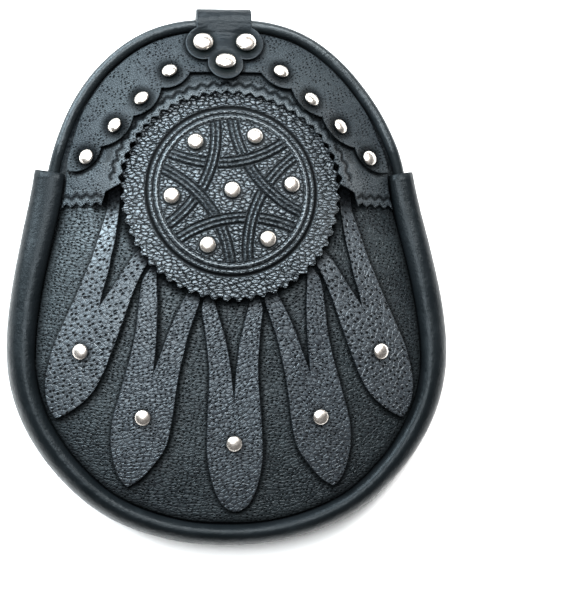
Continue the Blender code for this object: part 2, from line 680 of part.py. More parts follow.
def build_feathers(group, look):
    for kind, rows in (("outer", OUTER_FEATHER), ("mid", MID_FEATHER)):
        right = feather_points(rows)
        leather_piece(f"feather_{kind}_right", right, THIN_LEATHER, feather_base, group, look)
        leather_piece(f"feather_{kind}_left", mirror(right), THIN_LEATHER, feather_base, group, look)
    edge = list(CENTRE_FEATHER)
    left_edge = [(down, -across) for down, across in reversed(edge[:-1])]
    slit = [(down, -across) for down, across in reversed(CENTRE_SLIT)]
    rows = leaning(edge + left_edge + slit + list(CENTRE_SLIT[1:]))
    leather_piece("feather_centre", feather_points(rows), THIN_LEATHER, feather_base, group, look)


def cap_mesh(name, diameter, height):
    radius = diameter / 2
    profile = [(0.0, height), (0.46 * radius, 0.88 * height), (0.80 * radius, 0.60 * height),
               (radius, 0.16 * height), (0.97 * radius, 0.0), (0.0, 0.0)]
    line = bpy.data.meshes.new(name)
    line.from_pydata([(x, 0.0, z) for x, z in profile], [(i, i + 1) for i in range(len(profile) - 1)], [])
    holder = bpy.data.objects.new(name, line)
    bpy.context.scene.collection.objects.link(holder)
    turn = holder.modifiers.new("turn", "SCREW")
    turn.steps = 12
    turn.render_steps = 12
    turn.use_merge_vertices = True
    turn.merge_threshold = 10 * MERGE
    bpy.context.view_layer.update()
    mesh = bpy.data.meshes.new_from_object(holder.evaluated_get(bpy.context.evaluated_depsgraph_get()))
    bpy.data.objects.remove(holder, do_unlink=True)
    return mesh


def build_rivet(name, x, y, under, thickness, mesh, group, look):
    # The cap sits square on the leather below it, clear of its highest point
    reach = SMALL_CAP / 2
    slope_x = (under(x + reach, y) - under(x - reach, y)) / (2 * reach)
    slope_y = (under(x, y + reach) - under(x, y - reach)) / (2 * reach)
    normal = Vector((-slope_x, -slope_y, 1.0)).normalized()
    cap = place(name, mesh, group, look, smooth=40)
    turned = Vector((0, 0, 1)).rotation_difference(normal).to_matrix().to_4x4()
    bulge = 0.0
    for step in range(16):
        across = reach * math.cos(math.tau * step / 16)
        along = reach * math.sin(math.tau * step / 16)
        rise = under(x + across, y + along) - under(x, y)
        bulge = max(bulge, rise - slope_x * across - slope_y * along)
    seat = Vector((x + arch_lean(y), y, under(x, y) + thickness)) + normal * (GAP + bulge)
    cap.matrix_world = Matrix.Translation(seat) @ turned
    return cap


def build_rivets(group, look):
    small = cap_mesh("small_cap", SMALL_CAP, SMALL_CAP_HEIGHT)
    large = cap_mesh("large_cap", LARGE_CAP, LARGE_CAP_HEIGHT)
    for index, (x, y) in enumerate(lobe_centres(), 1):
        build_rivet(f"tab_rivet_{index}", x, y, tab_base, TAB_THICK, large, group, look)
    for index, (across, up) in enumerate(BAND_RIVETS, 1):
        x = across * HALF_WIDTH
        y = up * HALF_HEIGHT
        build_rivet(f"band_rivet_right_{index}", x, y, band_base, THIN_LEATHER, small, group, look)
        build_rivet(f"band_rivet_left_{index}", -x, y, band_base, THIN_LEATHER, small, group, look)
    centre_x, centre_y = MEDALLION_CENTRE
    build_rivet("medallion_rivet_centre", centre_x, centre_y, medallion_base, LEATHER, small, group, look)
    for index in range(6):
        turn = math.radians(RIVET_TURN + 60 * index)
        x = centre_x + RIVET_CIRCLE * math.cos(turn)
        y = centre_y + RIVET_CIRCLE * math.sin(turn)
        build_rivet(f"medallion_rivet_{index + 1}", x, y, medallion_base, LEATHER, small, group, look)
    for kind, place_share in FEATHER_RIVETS.items():
        (x, y), = feather_points([place_share])
        build_rivet(f"feather_rivet_{kind}_right", x, y, feather_base, THIN_LEATHER, small, group, look)
        build_rivet(f"feather_rivet_{kind}_left", -x, y, feather_base, THIN_LEATHER, small, group, look)
    (x, y), = feather_points([CENTRE_RIVET])
    build_rivet("feather_rivet_centre", x, y, feather_base, THIN_LEATHER, small, group, look)


clear_scene()
PARTS = new_collection("Sporran pouch")
CUTTERS = new_collection("Cutters")

grained = material("grained_leather", (0.030, 0.036, 0.040), 0.45)
smooth_leather = material("smooth_leather", (0.018, 0.022, 0.026), 0.35)
tooled = material("tooled_leather", (0.026, 0.030, 0.034), 0.50)
nickel = material("nickel", (0.80, 0.78, 0.74), 0.15, 1.0)

build_back_panel(PARTS, smooth_leather)
build_gusset(PARTS, smooth_leather)
build_front_panel(PARTS, grained)
build_piping(PARTS, smooth_leather)
build_feathers(PARTS, grained)
build_medallion(PARTS, tooled)
build_flap(PARTS, grained)
build_band(PARTS, grained)
build_tab(PARTS, smooth_leather)
build_rivets(PARTS, nickel)
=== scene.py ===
import math

import bpy
import numpy as np
from mathutils import Matrix, Vector, noise


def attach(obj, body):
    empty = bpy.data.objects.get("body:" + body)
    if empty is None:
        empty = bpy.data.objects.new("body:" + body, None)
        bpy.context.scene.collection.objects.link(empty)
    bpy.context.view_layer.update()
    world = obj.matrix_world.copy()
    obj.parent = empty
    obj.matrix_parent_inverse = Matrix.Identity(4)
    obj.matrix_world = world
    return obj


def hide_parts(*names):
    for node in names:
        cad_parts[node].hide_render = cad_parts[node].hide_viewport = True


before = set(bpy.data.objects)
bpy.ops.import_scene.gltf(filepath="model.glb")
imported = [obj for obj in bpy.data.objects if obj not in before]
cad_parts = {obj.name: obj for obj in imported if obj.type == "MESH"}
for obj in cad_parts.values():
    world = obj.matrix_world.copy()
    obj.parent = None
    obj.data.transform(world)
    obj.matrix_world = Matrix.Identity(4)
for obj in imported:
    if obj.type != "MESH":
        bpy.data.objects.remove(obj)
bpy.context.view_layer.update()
mm = 0.001

# the pouch's own form, as in the solids
halfWidth, halfHeight, discRadius = 86.1 * mm, 106.8 * mm, 44.6 * mm
body = {
    "crown": 36.0 * mm, "gap": 0.4 * mm, "bandGap": 0.7 * mm, "leather": 2.0 * mm, "thinLeather": 1.8 * mm,
    "backThick": 2.5 * mm, "tabThick": 2.2 * mm, "topRise": 3.0 * mm, "riseFrom": 0.51 * halfHeight,
    "riseTo": 0.74 * halfHeight, "shoulder": 0.406 * halfHeight, "blend": 7.0 * mm, "lowerSide": -0.28 * halfHeight,
    "topLean": 1.6 * mm, "leanBottom": 0.37 * halfHeight, "leanTop": 0.83 * halfHeight, "pipingRadius": 2.7 * mm,
    "seamArch": 5.6 * mm, "seamSide": 7.0 * mm, "seamBottom": 6.0 * mm, "stepIn": discRadius + 0.8 * mm,
    "stepOut": discRadius + 12.9 * mm,
}
discX, discY = 0.0, 0.317 * halfHeight

# share of the half width, share of the half height
outlineTable = (
    (0.000, 1.000), (0.130, 0.999), (0.225, 0.990), (0.350, 0.961), (0.461, 0.914), (0.557, 0.853),
    (0.642, 0.781), (0.740, 0.667), (0.801, 0.550), (0.848, 0.420), (0.873, 0.305), (0.907, 0.188),
    (0.938, 0.074), (0.968, -0.043), (0.989, -0.157), (1.000, -0.270), (0.996, -0.370),
    (0.967, -0.480), (0.905, -0.596), (0.820, -0.702), (0.755, -0.762), (0.680, -0.822),
    (0.566, -0.891), (0.410, -0.947), (0.254, -0.983), (0.130, -0.997), (0.000, -1.000),
)
# bearing in degrees, height of the front at its seam as a share of the crown, how sharply it falls there
seamTable = (
    (-90, 0.722, 3.2), (-60, 0.694, 3.2), (-30, 0.611, 3.0), (0, 0.458, 2.9),
    (27, 0.264, 2.5), (50, 0.167, 2.1), (70, 0.156, 2.0), (90, 0.156, 2.0),
)


def smoothStep(low, high, value):
    share = min(max((value - low) / (high - low), 0.0), 1.0)
    return share * share * (3.0 - 2.0 * share)


def smoothLine(points, steps):
    ends = [points[0], *points, points[-1]]
    line = []
    for index in range(1, len(ends) - 2):
        a, b, c, d = (np.array(point, dtype=float) for point in ends[index - 1:index + 3])
        for step in range(steps):
            t = step / steps
            line.append(0.5 * (2 * b + (c - a) * t + (2 * a - 5 * b + 4 * c - d) * t ** 2
                               + (3 * b - a - 3 * c + d) * t ** 3))
    line.append(np.array(points[-1], dtype=float))
    return np.array(line)


def spacedLine(line, count):
    line = np.array(line)
    along = np.concatenate([[0.0], np.cumsum(np.linalg.norm(np.diff(line, axis=0), axis=1))])
    places = np.linspace(0.0, along[-1], count)
    return np.stack([np.interp(places, along, line[:, axis]) for axis in range(line.shape[1])], axis=1)


def rightOutline():
    points = [(across * halfWidth, up * halfHeight) for across, up in outlineTable]
    line = smoothLine([(-points[1][0], points[1][1]), *points, (-points[-2][0], points[-2][1])], 8)
    return line[8:-8]


rightEdge = spacedLine(rightOutline(), 480)
edgeRun = np.gradient(rightEdge, axis=0)
edgeRun /= np.linalg.norm(edgeRun, axis=1)[:, None]
edgeIn = np.stack([edgeRun[:, 1], -edgeRun[:, 0]], axis=1)


def seamInset(y):
    if y > 0:
        share = smoothStep(body["shoulder"] - body["blend"], body["shoulder"] + body["blend"], y)
        return body["seamSide"] + (body["seamArch"] - body["seamSide"]) * share
    return float(np.interp(y, (-halfHeight, body["lowerSide"]), (body["seamBottom"], body["seamSide"])))


seamEdge = np.array([point + inward * seamInset(point[1]) for point, inward in zip(rightEdge, edgeIn)])
seamBearing = np.degrees(np.arctan2(seamEdge[:, 1], seamEdge[:, 0]))[::-1]
seamReach = np.linalg.norm(seamEdge, axis=1)[::-1]


def seamHeight(bearing):
    for low, high in zip(seamTable, seamTable[1:]):
        if bearing <= high[0]:
            share = 0.5 * smoothStep(low[0], high[0], bearing) + 0.5 * (bearing - low[0]) / (high[0] - low[0])
            return body["crown"] * (low[1] + (high[1] - low[1]) * share), low[2] + (high[2] - low[2]) * share
    return body["crown"] * seamTable[-1][1], seamTable[-1][2]


def archLean(y):
    return -body["topLean"] * smoothStep(body["leanBottom"], body["leanTop"], y)


def frontHeight(x, y):
    reach = math.hypot(x, y)
    if reach < 1e-6:
        return body["crown"]
    bearing = math.degrees(math.atan2(y, abs(x)))
    height, fall = seamHeight(bearing)
    share = reach / float(np.interp(bearing, seamBearing, seamReach))
    return body["crown"] - (body["crown"] - height) * min(share, 1.08) ** fall


def backHeight(x, y):
    return body["topRise"] * smoothStep(body["riseFrom"], body["riseTo"], y)


def discReach(x, y):
    return math.hypot(x - discX, y - discY)


def featherBase(x, y):
    return frontHeight(x, y) + body["gap"]


def discBase(x, y):
    return featherBase(x, y) + body["thinLeather"] + body["gap"]


def flapBase(x, y):
    lift = discBase(x, y) + body["leather"] - frontHeight(x, y)
    return frontHeight(x, y) + body["gap"] + lift * (1.0 - smoothStep(body["stepIn"], body["stepOut"], discReach(x, y)))


def bandBase(x, y):
    return flapBase(x, y) + body["leather"] + body["bandGap"]


def pipingCrest():
    return body["topRise"] + body["backThick"] + 2 * body["gap"] + 2 * body["pipingRadius"]


def tabBase(x, y):
    return max(bandBase(x, y) + body["thinLeather"] + body["gap"], pipingCrest())


def mirrored(points):
    return [(-x, y) for x, y in reversed(points)]


def seamLine(yFrom, yTo, count, inset):
    inner = np.array([seam + inward * inset for seam, inward in zip(seamEdge, edgeIn)])
    kept = inner[(inner[:, 1] <= yFrom) & (inner[:, 1] >= yTo)]
    return [tuple(point) for point in spacedLine(kept, count)]


def pinkedLine(points, pitch=4.65 * mm, depth=1.6 * mm):
    # zigzag with slightly blunted tips, as pinking shears leave it
    line = np.array(points)
    length = float(np.sum(np.linalg.norm(np.diff(line, axis=0), axis=1)))
    teeth = max(2, round(length / pitch))
    line = spacedLine(line, 8 * teeth + 1)
    run = np.gradient(line, axis=0)
    run /= np.linalg.norm(run, axis=1)[:, None]
    side = np.stack([-run[:, 1], run[:, 0]], axis=1)
    shape = (0.04, 0.22, 0.5, 0.78, 0.96, 0.78, 0.5, 0.22)
    return [tuple(point - offset * depth * shape[index % 8]) for index, (point, offset) in enumerate(zip(line, side))]


def deselectAll():
    if bpy.context.object and bpy.context.object.mode != "OBJECT":
        bpy.ops.object.mode_set(mode="OBJECT")
    bpy.ops.object.select_all(action="DESELECT")


def useOnly(piece):
    deselectAll()
    piece.select_set(True)
    bpy.context.view_layer.objects.active = piece


def openMesh(piece):
    useOnly(piece)
    bpy.ops.object.mode_set(mode="EDIT")
    bpy.ops.mesh.select_all(action="SELECT")


def closeOutward():
    # faces outward again, and back to object mode
    bpy.ops.mesh.select_all(action="SELECT")
    bpy.ops.mesh.normals_make_consistent(inside=False)
    bpy.ops.object.mode_set(mode="OBJECT")


def linkNew(name, data):
    piece = bpy.data.objects.new(name, data)
    bpy.context.scene.collection.objects.link(piece)
    return piece


def addMarks(piece, name, values):
    # one number for each point of the mesh, for the material to read
    layer = piece.data.attributes.new(name, "FLOAT", "POINT")
    for index, value in enumerate(values):
        layer.data[index].value = value


def giveNormals(piece, angle=40):
    useOnly(piece)
    bpy.ops.object.shade_smooth_by_angle(angle=math.radians(angle))
    weighted = piece.modifiers.new("weighted", "WEIGHTED_NORMAL")
    weighted.keep_sharp = True
    bpy.ops.object.modifier_apply(modifier=weighted.name)


def dress(piece, material, node):
    piece.data.materials.clear()
    piece.data.materials.append(material)
    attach(piece, "root")
    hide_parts(node)


def flatSheet(name, outline, thick, rounding):
    # cut from a flat hide: a filled curve with rounded edges, underside at zero
    deselectAll()
    curve = bpy.data.curves.new(name, "CURVE")
    curve.dimensions = "2D"
    curve.fill_mode = "BOTH"
    curve.extrude = thick / 2 - rounding
    curve.bevel_depth = rounding
    curve.bevel_resolution = 2
    curve.offset = -rounding
    spline = curve.splines.new("POLY")
    spline.points.add(len(outline) - 1)
    for point, (x, y) in zip(spline.points, outline):
        point.co = (x, y, 0.0, 1.0)
    spline.use_cyclic_u = True
    useOnly(linkNew(name, curve))
    bpy.ops.object.convert(target="MESH")
    piece = bpy.context.object
    openMesh(piece)
    bpy.ops.mesh.remove_doubles(threshold=2e-6)
    bpy.ops.mesh.dissolve_limited(angle_limit=math.radians(0.5))
    bpy.ops.mesh.select_all(action="SELECT")
    bpy.ops.mesh.normals_make_consistent(inside=False)
    bpy.ops.transform.translate(value=(0, 0, thick / 2))
    bpy.ops.object.mode_set(mode="OBJECT")
    return piece


def cutLines(piece, step):
    # square cuts through the sheet, so that it can bend
    useOnly(piece)
    corners = [tuple(piece.bound_box[0]), tuple(piece.bound_box[6])]
    openMesh(piece)
    for axis in (0, 1):
        normal = (1, 0, 0) if axis == 0 else (0, 1, 0)
        for line in range(math.ceil(corners[0][axis] / step), math.floor(corners[1][axis] / step) + 1):
            place = [0.0, 0.0, 0.0]
            place[axis] = line * step + 1e-5
            bpy.ops.mesh.select_all(action="SELECT")
            bpy.ops.mesh.bisect(plane_co=place, plane_no=normal, threshold=1e-5)
    bpy.ops.mesh.select_all(action="SELECT")
    bpy.ops.mesh.quads_convert_to_tris(ngon_method="BEAUTY")
    bpy.ops.object.mode_set(mode="OBJECT")


def wave(x, y, size, seed):
    return noise.noise(Vector((x / size, y / size, seed)))


def noMarks(x, y):
    return 0.0, 0.0


def beside(line, x, y, reach):
    # one on the line, falling to nothing at its reach
    away = float(np.min(np.hypot(line[:, 0] - x, line[:, 1] - y)))
    return max(0.0, 1.0 - (away / reach) ** 2)


def dense(points, gap=0.5 * mm):
    # closely spaced copy of a line of points
    ring = np.array(points)
    length = float(np.sum(np.linalg.norm(np.diff(ring, axis=0), axis=1)))
    return spacedLine(ring, max(2, int(length / gap)))


def onCut(up, thick):
    # one on the cut side of a sheet, nothing on its faces
    return 1.0 if 0.02 * mm < up < thick - 0.02 * mm else 0.0


def bendSheet(piece, base, thick, options, rivets=(), marks=noMarks):
    # lays the flat sheet on its surface, with soft waves, a dimple under each rivet and pressed marks, and puts painted
    # shade round each rivet and along the marks into the shade attribute
    shades, edges = [], []
    for vert in piece.data.vertices:
        x, y, up = vert.co
        sunk, dark = marks(x, y)
        level = base(x, y) + up + options["waves"] * wave(x, y, options["waveSize"], options["seed"])
        for rivetX, rivetY in rivets:
            away = math.hypot(x - rivetX, y - rivetY) / options["halo"]
            if away < 2.2:
                level -= options["dimple"] * math.exp(-away ** 3)
                # painted shade ring round the rivet's dimple
                dark = max(dark, math.exp(-(away * 0.9) ** 8))
        if up > thick / 2:
            level -= sunk
        edges.append(onCut(up, thick))
        shades.append(dark)
        vert.co = (x + archLean(y), y, level)
    addMarks(piece, "shade", shades)
    addMarks(piece, "edge", edges)
    piece.data.update()


def smoothCopy(node, name, levels, crease=0.0):
    # a smooth piece grown from the solid's own cage
    source = bpy.data.objects[node] if node in bpy.data.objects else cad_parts[node]
    deselectAll()
    piece = linkNew(name, source.data.copy())
    openMesh(piece)
    bpy.ops.mesh.remove_doubles(threshold=1e-5)
    bpy.ops.mesh.tris_convert_to_quads(face_threshold=math.radians(60), shape_threshold=math.radians(60))
    bpy.ops.mesh.normals_make_consistent(inside=False)
    if crease:
        bpy.ops.mesh.select_all(action="DESELECT")
        bpy.ops.mesh.edges_select_sharp(sharpness=math.radians(65))
        bpy.ops.transform.edge_crease(value=crease)
    bpy.ops.object.mode_set(mode="OBJECT")
    grown = piece.modifiers.new("smooth", "SUBSURF")
    grown.levels = levels
    grown.render_levels = levels
    bpy.ops.object.modifier_apply(modifier=grown.name)
    bpy.ops.object.shade_smooth()
    return piece


# materials

class NodeBench:
    # short hand for wiring one material
    def __init__(self, name):
        self.material = bpy.data.materials.new(name)
        self.material.use_nodes = True
        self.nodes = self.material.node_tree.nodes
        self.links = self.material.node_tree.links
        self.shader = self.nodes["Principled BSDF"]
        self.coords = self.nodes.new("ShaderNodeTexCoord").outputs["Object"]

    def wire(self, source, target):
        self.links.new(source, target)

    def mapping(self, scale=(1, 1, 1), turn=0.0, source=None):
        node = self.nodes.new("ShaderNodeMapping")
        node.inputs["Scale"].default_value = scale
        node.inputs["Rotation"].default_value = (0, 0, turn)
        self.wire(source or self.coords, node.inputs["Vector"])
        return node.outputs["Vector"]

    def noise(self, scale, detail=3.0, rough=0.55, source=None, output="Fac"):
        node = self.nodes.new("ShaderNodeTexNoise")
        node.inputs["Scale"].default_value = scale
        node.inputs["Detail"].default_value = detail
        node.inputs["Roughness"].default_value = rough
        self.wire(source or self.coords, node.inputs["Vector"])
        return node.outputs[output]

    def cells(self, scale, feature="F1", spread=1.0, source=None):
        node = self.nodes.new("ShaderNodeTexVoronoi")
        node.feature = feature
        node.voronoi_dimensions = "2D"
        node.inputs["Scale"].default_value = scale
        node.inputs["Randomness"].default_value = spread
        self.wire(source or self.coords, node.inputs["Vector"])
        return node.outputs["Distance"]

    def math(self, how, a, b=0.0, clamp=False):
        node = self.nodes.new("ShaderNodeMath")
        node.operation = how
        node.use_clamp = clamp
        for index, value in enumerate((a, b)):
            if isinstance(value, (int, float)):
                node.inputs[index].default_value = value
            else:
                self.wire(value, node.inputs[index])
        return node.outputs[0]

    def times(self, a, b):
        return self.math("MULTIPLY", a, b)

    def range(self, value, low, high, toLow=0.0, toHigh=1.0):
        node = self.nodes.new("ShaderNodeMapRange")
        node.interpolation_type = "SMOOTHSTEP"
        self.wire(value, node.inputs["Value"])
        for name, number in (("From Min", low), ("From Max", high), ("To Min", toLow), ("To Max", toHigh)):
            node.inputs[name].default_value = number
        return node.outputs["Result"]

    def warped(self, source, amount, scale):
        # pushes a pattern about, so that its rows wander
        shift = self.noise(scale, 2.0, 0.5, source, "Color")
        centred = self.nodes.new("ShaderNodeVectorMath")
        centred.operation = "SUBTRACT"
        self.wire(shift, centred.inputs[0])
        centred.inputs[1].default_value = (0.5, 0.5, 0.5)
        scaled = self.nodes.new("ShaderNodeVectorMath")
        scaled.operation = "SCALE"
        self.wire(centred.outputs[0], scaled.inputs[0])
        scaled.inputs["Scale"].default_value = amount
        added = self.nodes.new("ShaderNodeVectorMath")
        added.operation = "ADD"
        self.wire(source, added.inputs[0])
        self.wire(scaled.outputs[0], added.inputs[1])
        return added.outputs[0]

    def mix(self, share, a, b):
        node = self.nodes.new("ShaderNodeMix")
        node.data_type = "RGBA"
        self.wire(share, node.inputs[0])
        for index, value in ((6, a), (7, b)):
            if isinstance(value, tuple):
                node.inputs[index].default_value = (*value, 1.0)
            else:
                self.wire(value, node.inputs[index])
        return node.outputs[2]

    def dullAndShade(self, share):
        # takes the shine out of pores and cut sides, and out of grooves, dimples and hollows as painted shade
        self.wire(self.mix(share, (0.82, 0.93, 1.0), (0.03, 0.03, 0.03)), self.shader.inputs["Specular Tint"])

    def bump(self, height, distance, strength=1.0, below=None):
        node = self.nodes.new("ShaderNodeBump")
        if isinstance(strength, (int, float)):
            node.inputs["Strength"].default_value = strength
        else:
            self.wire(strength, node.inputs["Strength"])
        node.inputs["Distance"].default_value = distance
        self.wire(height, node.inputs["Height"])
        if below:
            self.wire(below, node.inputs["Normal"])
        return node.outputs["Normal"]


def marked(bench, name):
    node = bench.nodes.new("ShaderNodeAttribute")
    node.attribute_name = name
    return node.outputs["Fac"]


def flatCoords(bench, turn=0.0):
    # the sheet seen from the front, so that the grain runs in rows along it
    return bench.mapping((1, 1, 0), math.radians(turn))


def grainedLeather(name, settings):
    bench = NodeBench(name)
    shader = bench.shader
    wavy = bench.warped(flatCoords(bench, settings["turn"]), settings["wander"], 70.0)
    rows = bench.mapping((settings["stretch"], 1.0, 1.0), 0.0, wavy)
    pebble = bench.cells(settings["pebble"], "SMOOTH_F1", 0.9, rows)
    valley = bench.range(bench.cells(settings["pebble"], "DISTANCE_TO_EDGE", 0.9, rows), 0.0, 0.16, 1.0, 0.0)
    pores = bench.cells(settings["pores"], "F1", 0.62, bench.mapping((0.66, 1.0, 1.0), math.radians(12), wavy))
    clumps = bench.noise(settings["pores"] * 0.22, 2.0, 0.5, wavy)
    clumps = bench.range(clumps, settings["bare"], settings["bare"] + 0.12)
    pore = bench.times(bench.range(pores, 0.12, 0.30, 1.0, 0.0), clumps)
    wrinkle = bench.noise(settings["pebble"] * 0.5, 3.0, 0.6, bench.mapping((0.4, 1.0, 1.0), 0.0, wavy))
    fine = bench.noise(2400.0, 3.0, 0.6)
    patch = bench.noise(38.0, 3.0, 0.6)
    shade = marked(bench, "shade")
    edge = marked(bench, "edge")
    # the high grain is painted lighter, partly as dye rubbed thin and partly as a painted highlight; pores hold black
    # dye; the cut side is dark, partly edge dye and partly painted shade; the shade marks paint shade into dimples,
    # grooves, hollows and beside other parts' edges
    tone = bench.mix(bench.range(patch, 0.35, 0.7), settings["dark"], settings["light"])
    # crests of the grain painted lighter: rubbed dye and a painted highlight
    tone = bench.mix(bench.range(pebble, 0.12, 0.42, 0.6, 0.0), tone, settings["rubbedAndHighlight"])
    tone = bench.mix(bench.times(pore, 0.9), tone, settings["deep"])
    # cut side painted dark: edge dye and painted shade
    tone = bench.mix(bench.times(edge, 0.55), tone, settings["cutEdge"])
    # painted shade from the shade marks
    tone = bench.mix(bench.times(shade, 0.85), tone, settings["deep"])
    bench.wire(tone, shader.inputs["Base Color"])
    gloss = bench.range(bench.noise(95.0, 3.0, 0.6), 0.3, 0.7, settings["rough"][0], settings["rough"][1])
    gloss = bench.math("ADD", gloss, bench.times(pore, 0.3))
    gloss = bench.math("ADD", gloss, bench.times(shade, 0.25), True)
    bench.wire(gloss, shader.inputs["Roughness"])
    shader.inputs["Specular IOR Level"].default_value = settings["specular"]
    # no shine in pores and on cut sides, and painted shade where the shade marks lie
    bench.dullAndShade(bench.math("MAXIMUM", bench.math("MAXIMUM", pore, bench.times(edge, 0.75)), shade, True))
    # the hide is smoother near the top and coarser toward the bottom
    split = bench.nodes.new("ShaderNodeSeparateXYZ")
    bench.wire(bench.coords, split.inputs[0])
    coarse = bench.range(split.outputs[1], -0.045, 0.025, 1.0, settings["upperGrain"])
    first = bench.bump(bench.times(pebble, -1.0), settings["relief"], coarse)
    second = bench.bump(wrinkle, settings["wrinkle"], coarse, first)
    third = bench.bump(bench.math("MAXIMUM", pore, bench.times(valley, settings["valley"])),
                       -settings["poreDeep"], 1.0, second)
    bench.wire(bench.bump(fine, 0.00006, 0.6, third), shader.inputs["Normal"])
    return bench.material


def smoothLeather(name, settings):
    bench = NodeBench(name)
    shader = bench.shader
    patch = bench.noise(26.0, 3.0, 0.6)
    creases = bench.cells(380.0, "DISTANCE_TO_EDGE", 1.0, bench.warped(bench.coords, 0.004, 90.0))
    crease = bench.range(creases, 0.0, 0.10, 1.0, 0.0)
    rub = bench.noise(150.0, 4.0, 0.65)
    shade = marked(bench, "shade")
    edge = marked(bench, "edge")
    tone = bench.mix(bench.range(patch, 0.3, 0.7), settings["dark"], settings["light"])
    tone = bench.mix(bench.range(rub, 0.55, 0.85, 0.0, 0.5), tone, settings["rubbedAndHighlight"])
    # cut sides painted lighter: a painted highlight where the rounded edge catches the light
    tone = bench.mix(bench.times(edge, 0.5), tone, settings["rubbedAndHighlight"])
    # painted shade round the rivets
    tone = bench.mix(bench.times(shade, 0.85), tone, (0.002, 0.003, 0.003))
    bench.wire(tone, shader.inputs["Base Color"])
    gloss = bench.range(rub, 0.25, 0.75, settings["rough"][0], settings["rough"][1])
    bench.wire(bench.math("ADD", gloss, bench.times(shade, 0.2), True), shader.inputs["Roughness"])
    shader.inputs["Specular IOR Level"].default_value = settings["specular"]
    # painted shade: no shine where the shade marks lie
    bench.dullAndShade(shade)
    first = bench.bump(crease, -0.00003, 0.4)
    second = bench.bump(bench.noise(700.0, 4.0, 0.6), 0.00020, 0.9, first)
    soft = bench.noise(85.0, 3.0, 0.55, bench.mapping(settings["pull"]))
    bench.wire(bench.bump(soft, settings["soft"], 0.8, second), shader.inputs["Normal"])
    return bench.material


def tooledLeather(name, settings):
    # stamped pebbles between smooth tooled ridges, told apart by the piece's own marks; the pebbles' crests carry a
    # painted highlight, and their valleys, the tooled grooves and the rivet wells carry painted shade
    bench = NodeBench(name)
    shader = bench.shader
    stipple = marked(bench, "stipple")
    groove = marked(bench, "groove")
    wavy = bench.warped(flatCoords(bench, 0.0), 0.0020, 380.0)
    rows = bench.mapping((0.60, 1.20, 1.0), math.radians(-24), wavy)
    grain = bench.cells(settings["grain"], "SMOOTH_F1", 1.0, rows)
    valley = bench.range(bench.cells(settings["grain"], "DISTANCE_TO_EDGE", 1.0, rows), 0.0, 0.2, 1.0, 0.0)
    dots = bench.noise(settings["grain"] * 1.1, 3.0, 0.6, rows)
    cut = bench.math("SUBTRACT", bench.times(dots, 1.2), bench.math("ADD", grain, valley))
    relief = bench.times(cut, stipple)
    # painted highlight on the pebbles' crests
    tone = bench.mix(bench.range(grain, 0.12, 0.42), settings["light"], settings["dark"])
    # painted shade in the valleys between pebbles
    tone = bench.mix(bench.times(valley, 0.8), tone, settings["deep"])
    tone = bench.mix(stipple, settings["smooth"], tone)
    # painted shade in the tooled grooves and rivet wells
    tone = bench.mix(bench.times(groove, 0.92), tone, settings["deep"])
    bench.wire(tone, shader.inputs["Base Color"])
    rough = bench.math("ADD", bench.range(stipple, 0.0, 1.0, 0.34, 0.36), bench.times(groove, 0.3), True)
    bench.wire(rough, shader.inputs["Roughness"])
    shader.inputs["Specular IOR Level"].default_value = settings["specular"]
    between = bench.times(bench.times(valley, stipple), 0.7)
    # painted shade: no shine in grooves and valleys
    bench.dullAndShade(bench.math("MAXIMUM", groove, between, True))
    first = bench.bump(relief, settings["relief"])
    bench.wire(bench.bump(bench.noise(2200.0, 3.0, 0.6), 0.00006, 0.6, first), shader.inputs["Normal"])
    return bench.material


def nickelPlate(name):
    bench = NodeBench(name)
    shader = bench.shader
    shader.inputs["Metallic"].default_value = 1.0
    patch = bench.noise(240.0, 3.0, 0.6)
    tarnish = bench.noise(900.0, 4.0, 0.6)
    tone = bench.mix(bench.range(patch, 0.35, 0.75), (0.80, 0.745, 0.69), (0.64, 0.57, 0.51))
    bench.wire(tone, shader.inputs["Base Color"])
    bench.wire(bench.range(tarnish, 0.3, 0.8, 0.25, 0.36), shader.inputs["Roughness"])
    scratch = bench.noise(1800.0, 2.0, 0.5, bench.mapping((0.2, 1.0, 1.0), 0.6))
    bench.wire(bench.bump(scratch, 0.00002, 0.5), shader.inputs["Normal"])
    return bench.material


# black of the dye in pores, also the colour of the painted shade in dimples, grooves, hollows and valleys
deepDyeAndShade = (0.0008, 0.0011, 0.0013)
leatherLooks = {
    "panel": {"turn": 0, "wander": 0.004, "stretch": 0.55, "pebble": 760.0, "pores": 740.0, "valley": 0.35,
              "bare": 0.34,
              "dark": (0.003, 0.004, 0.005), "light": (0.006, 0.008, 0.009), "rubbedAndHighlight": (0.012, 0.016, 0.018),
              "rough": (0.36, 0.50), "specular": 0.30, "relief": 0.00014, "wrinkle": 0.00030, "poreDeep": 0.00040,
              "upperGrain": 0.55},
    "feather": {"turn": 0, "wander": 0.003, "stretch": 0.7, "pebble": 660.0, "pores": 700.0, "valley": 0.4,
                "bare": 0.36,
                "dark": (0.006, 0.007, 0.009), "light": (0.010, 0.012, 0.015), "rubbedAndHighlight": (0.020, 0.025, 0.030),
                "rough": (0.36, 0.48), "specular": 0.46, "relief": 0.00020, "wrinkle": 0.00026, "poreDeep": 0.00042,
                "upperGrain": 0.25},
    "flap": {"turn": -30, "wander": 0.003, "stretch": 0.9, "pebble": 1250.0, "pores": 820.0, "valley": 0.2,
             "bare": 0.46,
             "dark": (0.005, 0.007, 0.009), "light": (0.010, 0.013, 0.015), "rubbedAndHighlight": (0.018, 0.023, 0.027),
             "rough": (0.38, 0.52), "specular": 0.45, "relief": 0.00012, "wrinkle": 0.00016, "poreDeep": 0.00034,
             "upperGrain": 1.0},
}
for look in leatherLooks.values():
    look.update({"deep": deepDyeAndShade, "cutEdge": (0.004, 0.005, 0.006)})

panelLeather = grainedLeather("panelLeather", leatherLooks["panel"])
flapLeather = grainedLeather("flapLeather", leatherLooks["flap"])
bandLeather = grainedLeather("bandLeather", {**leatherLooks["flap"], "specular": 0.19, "bare": 0.42})
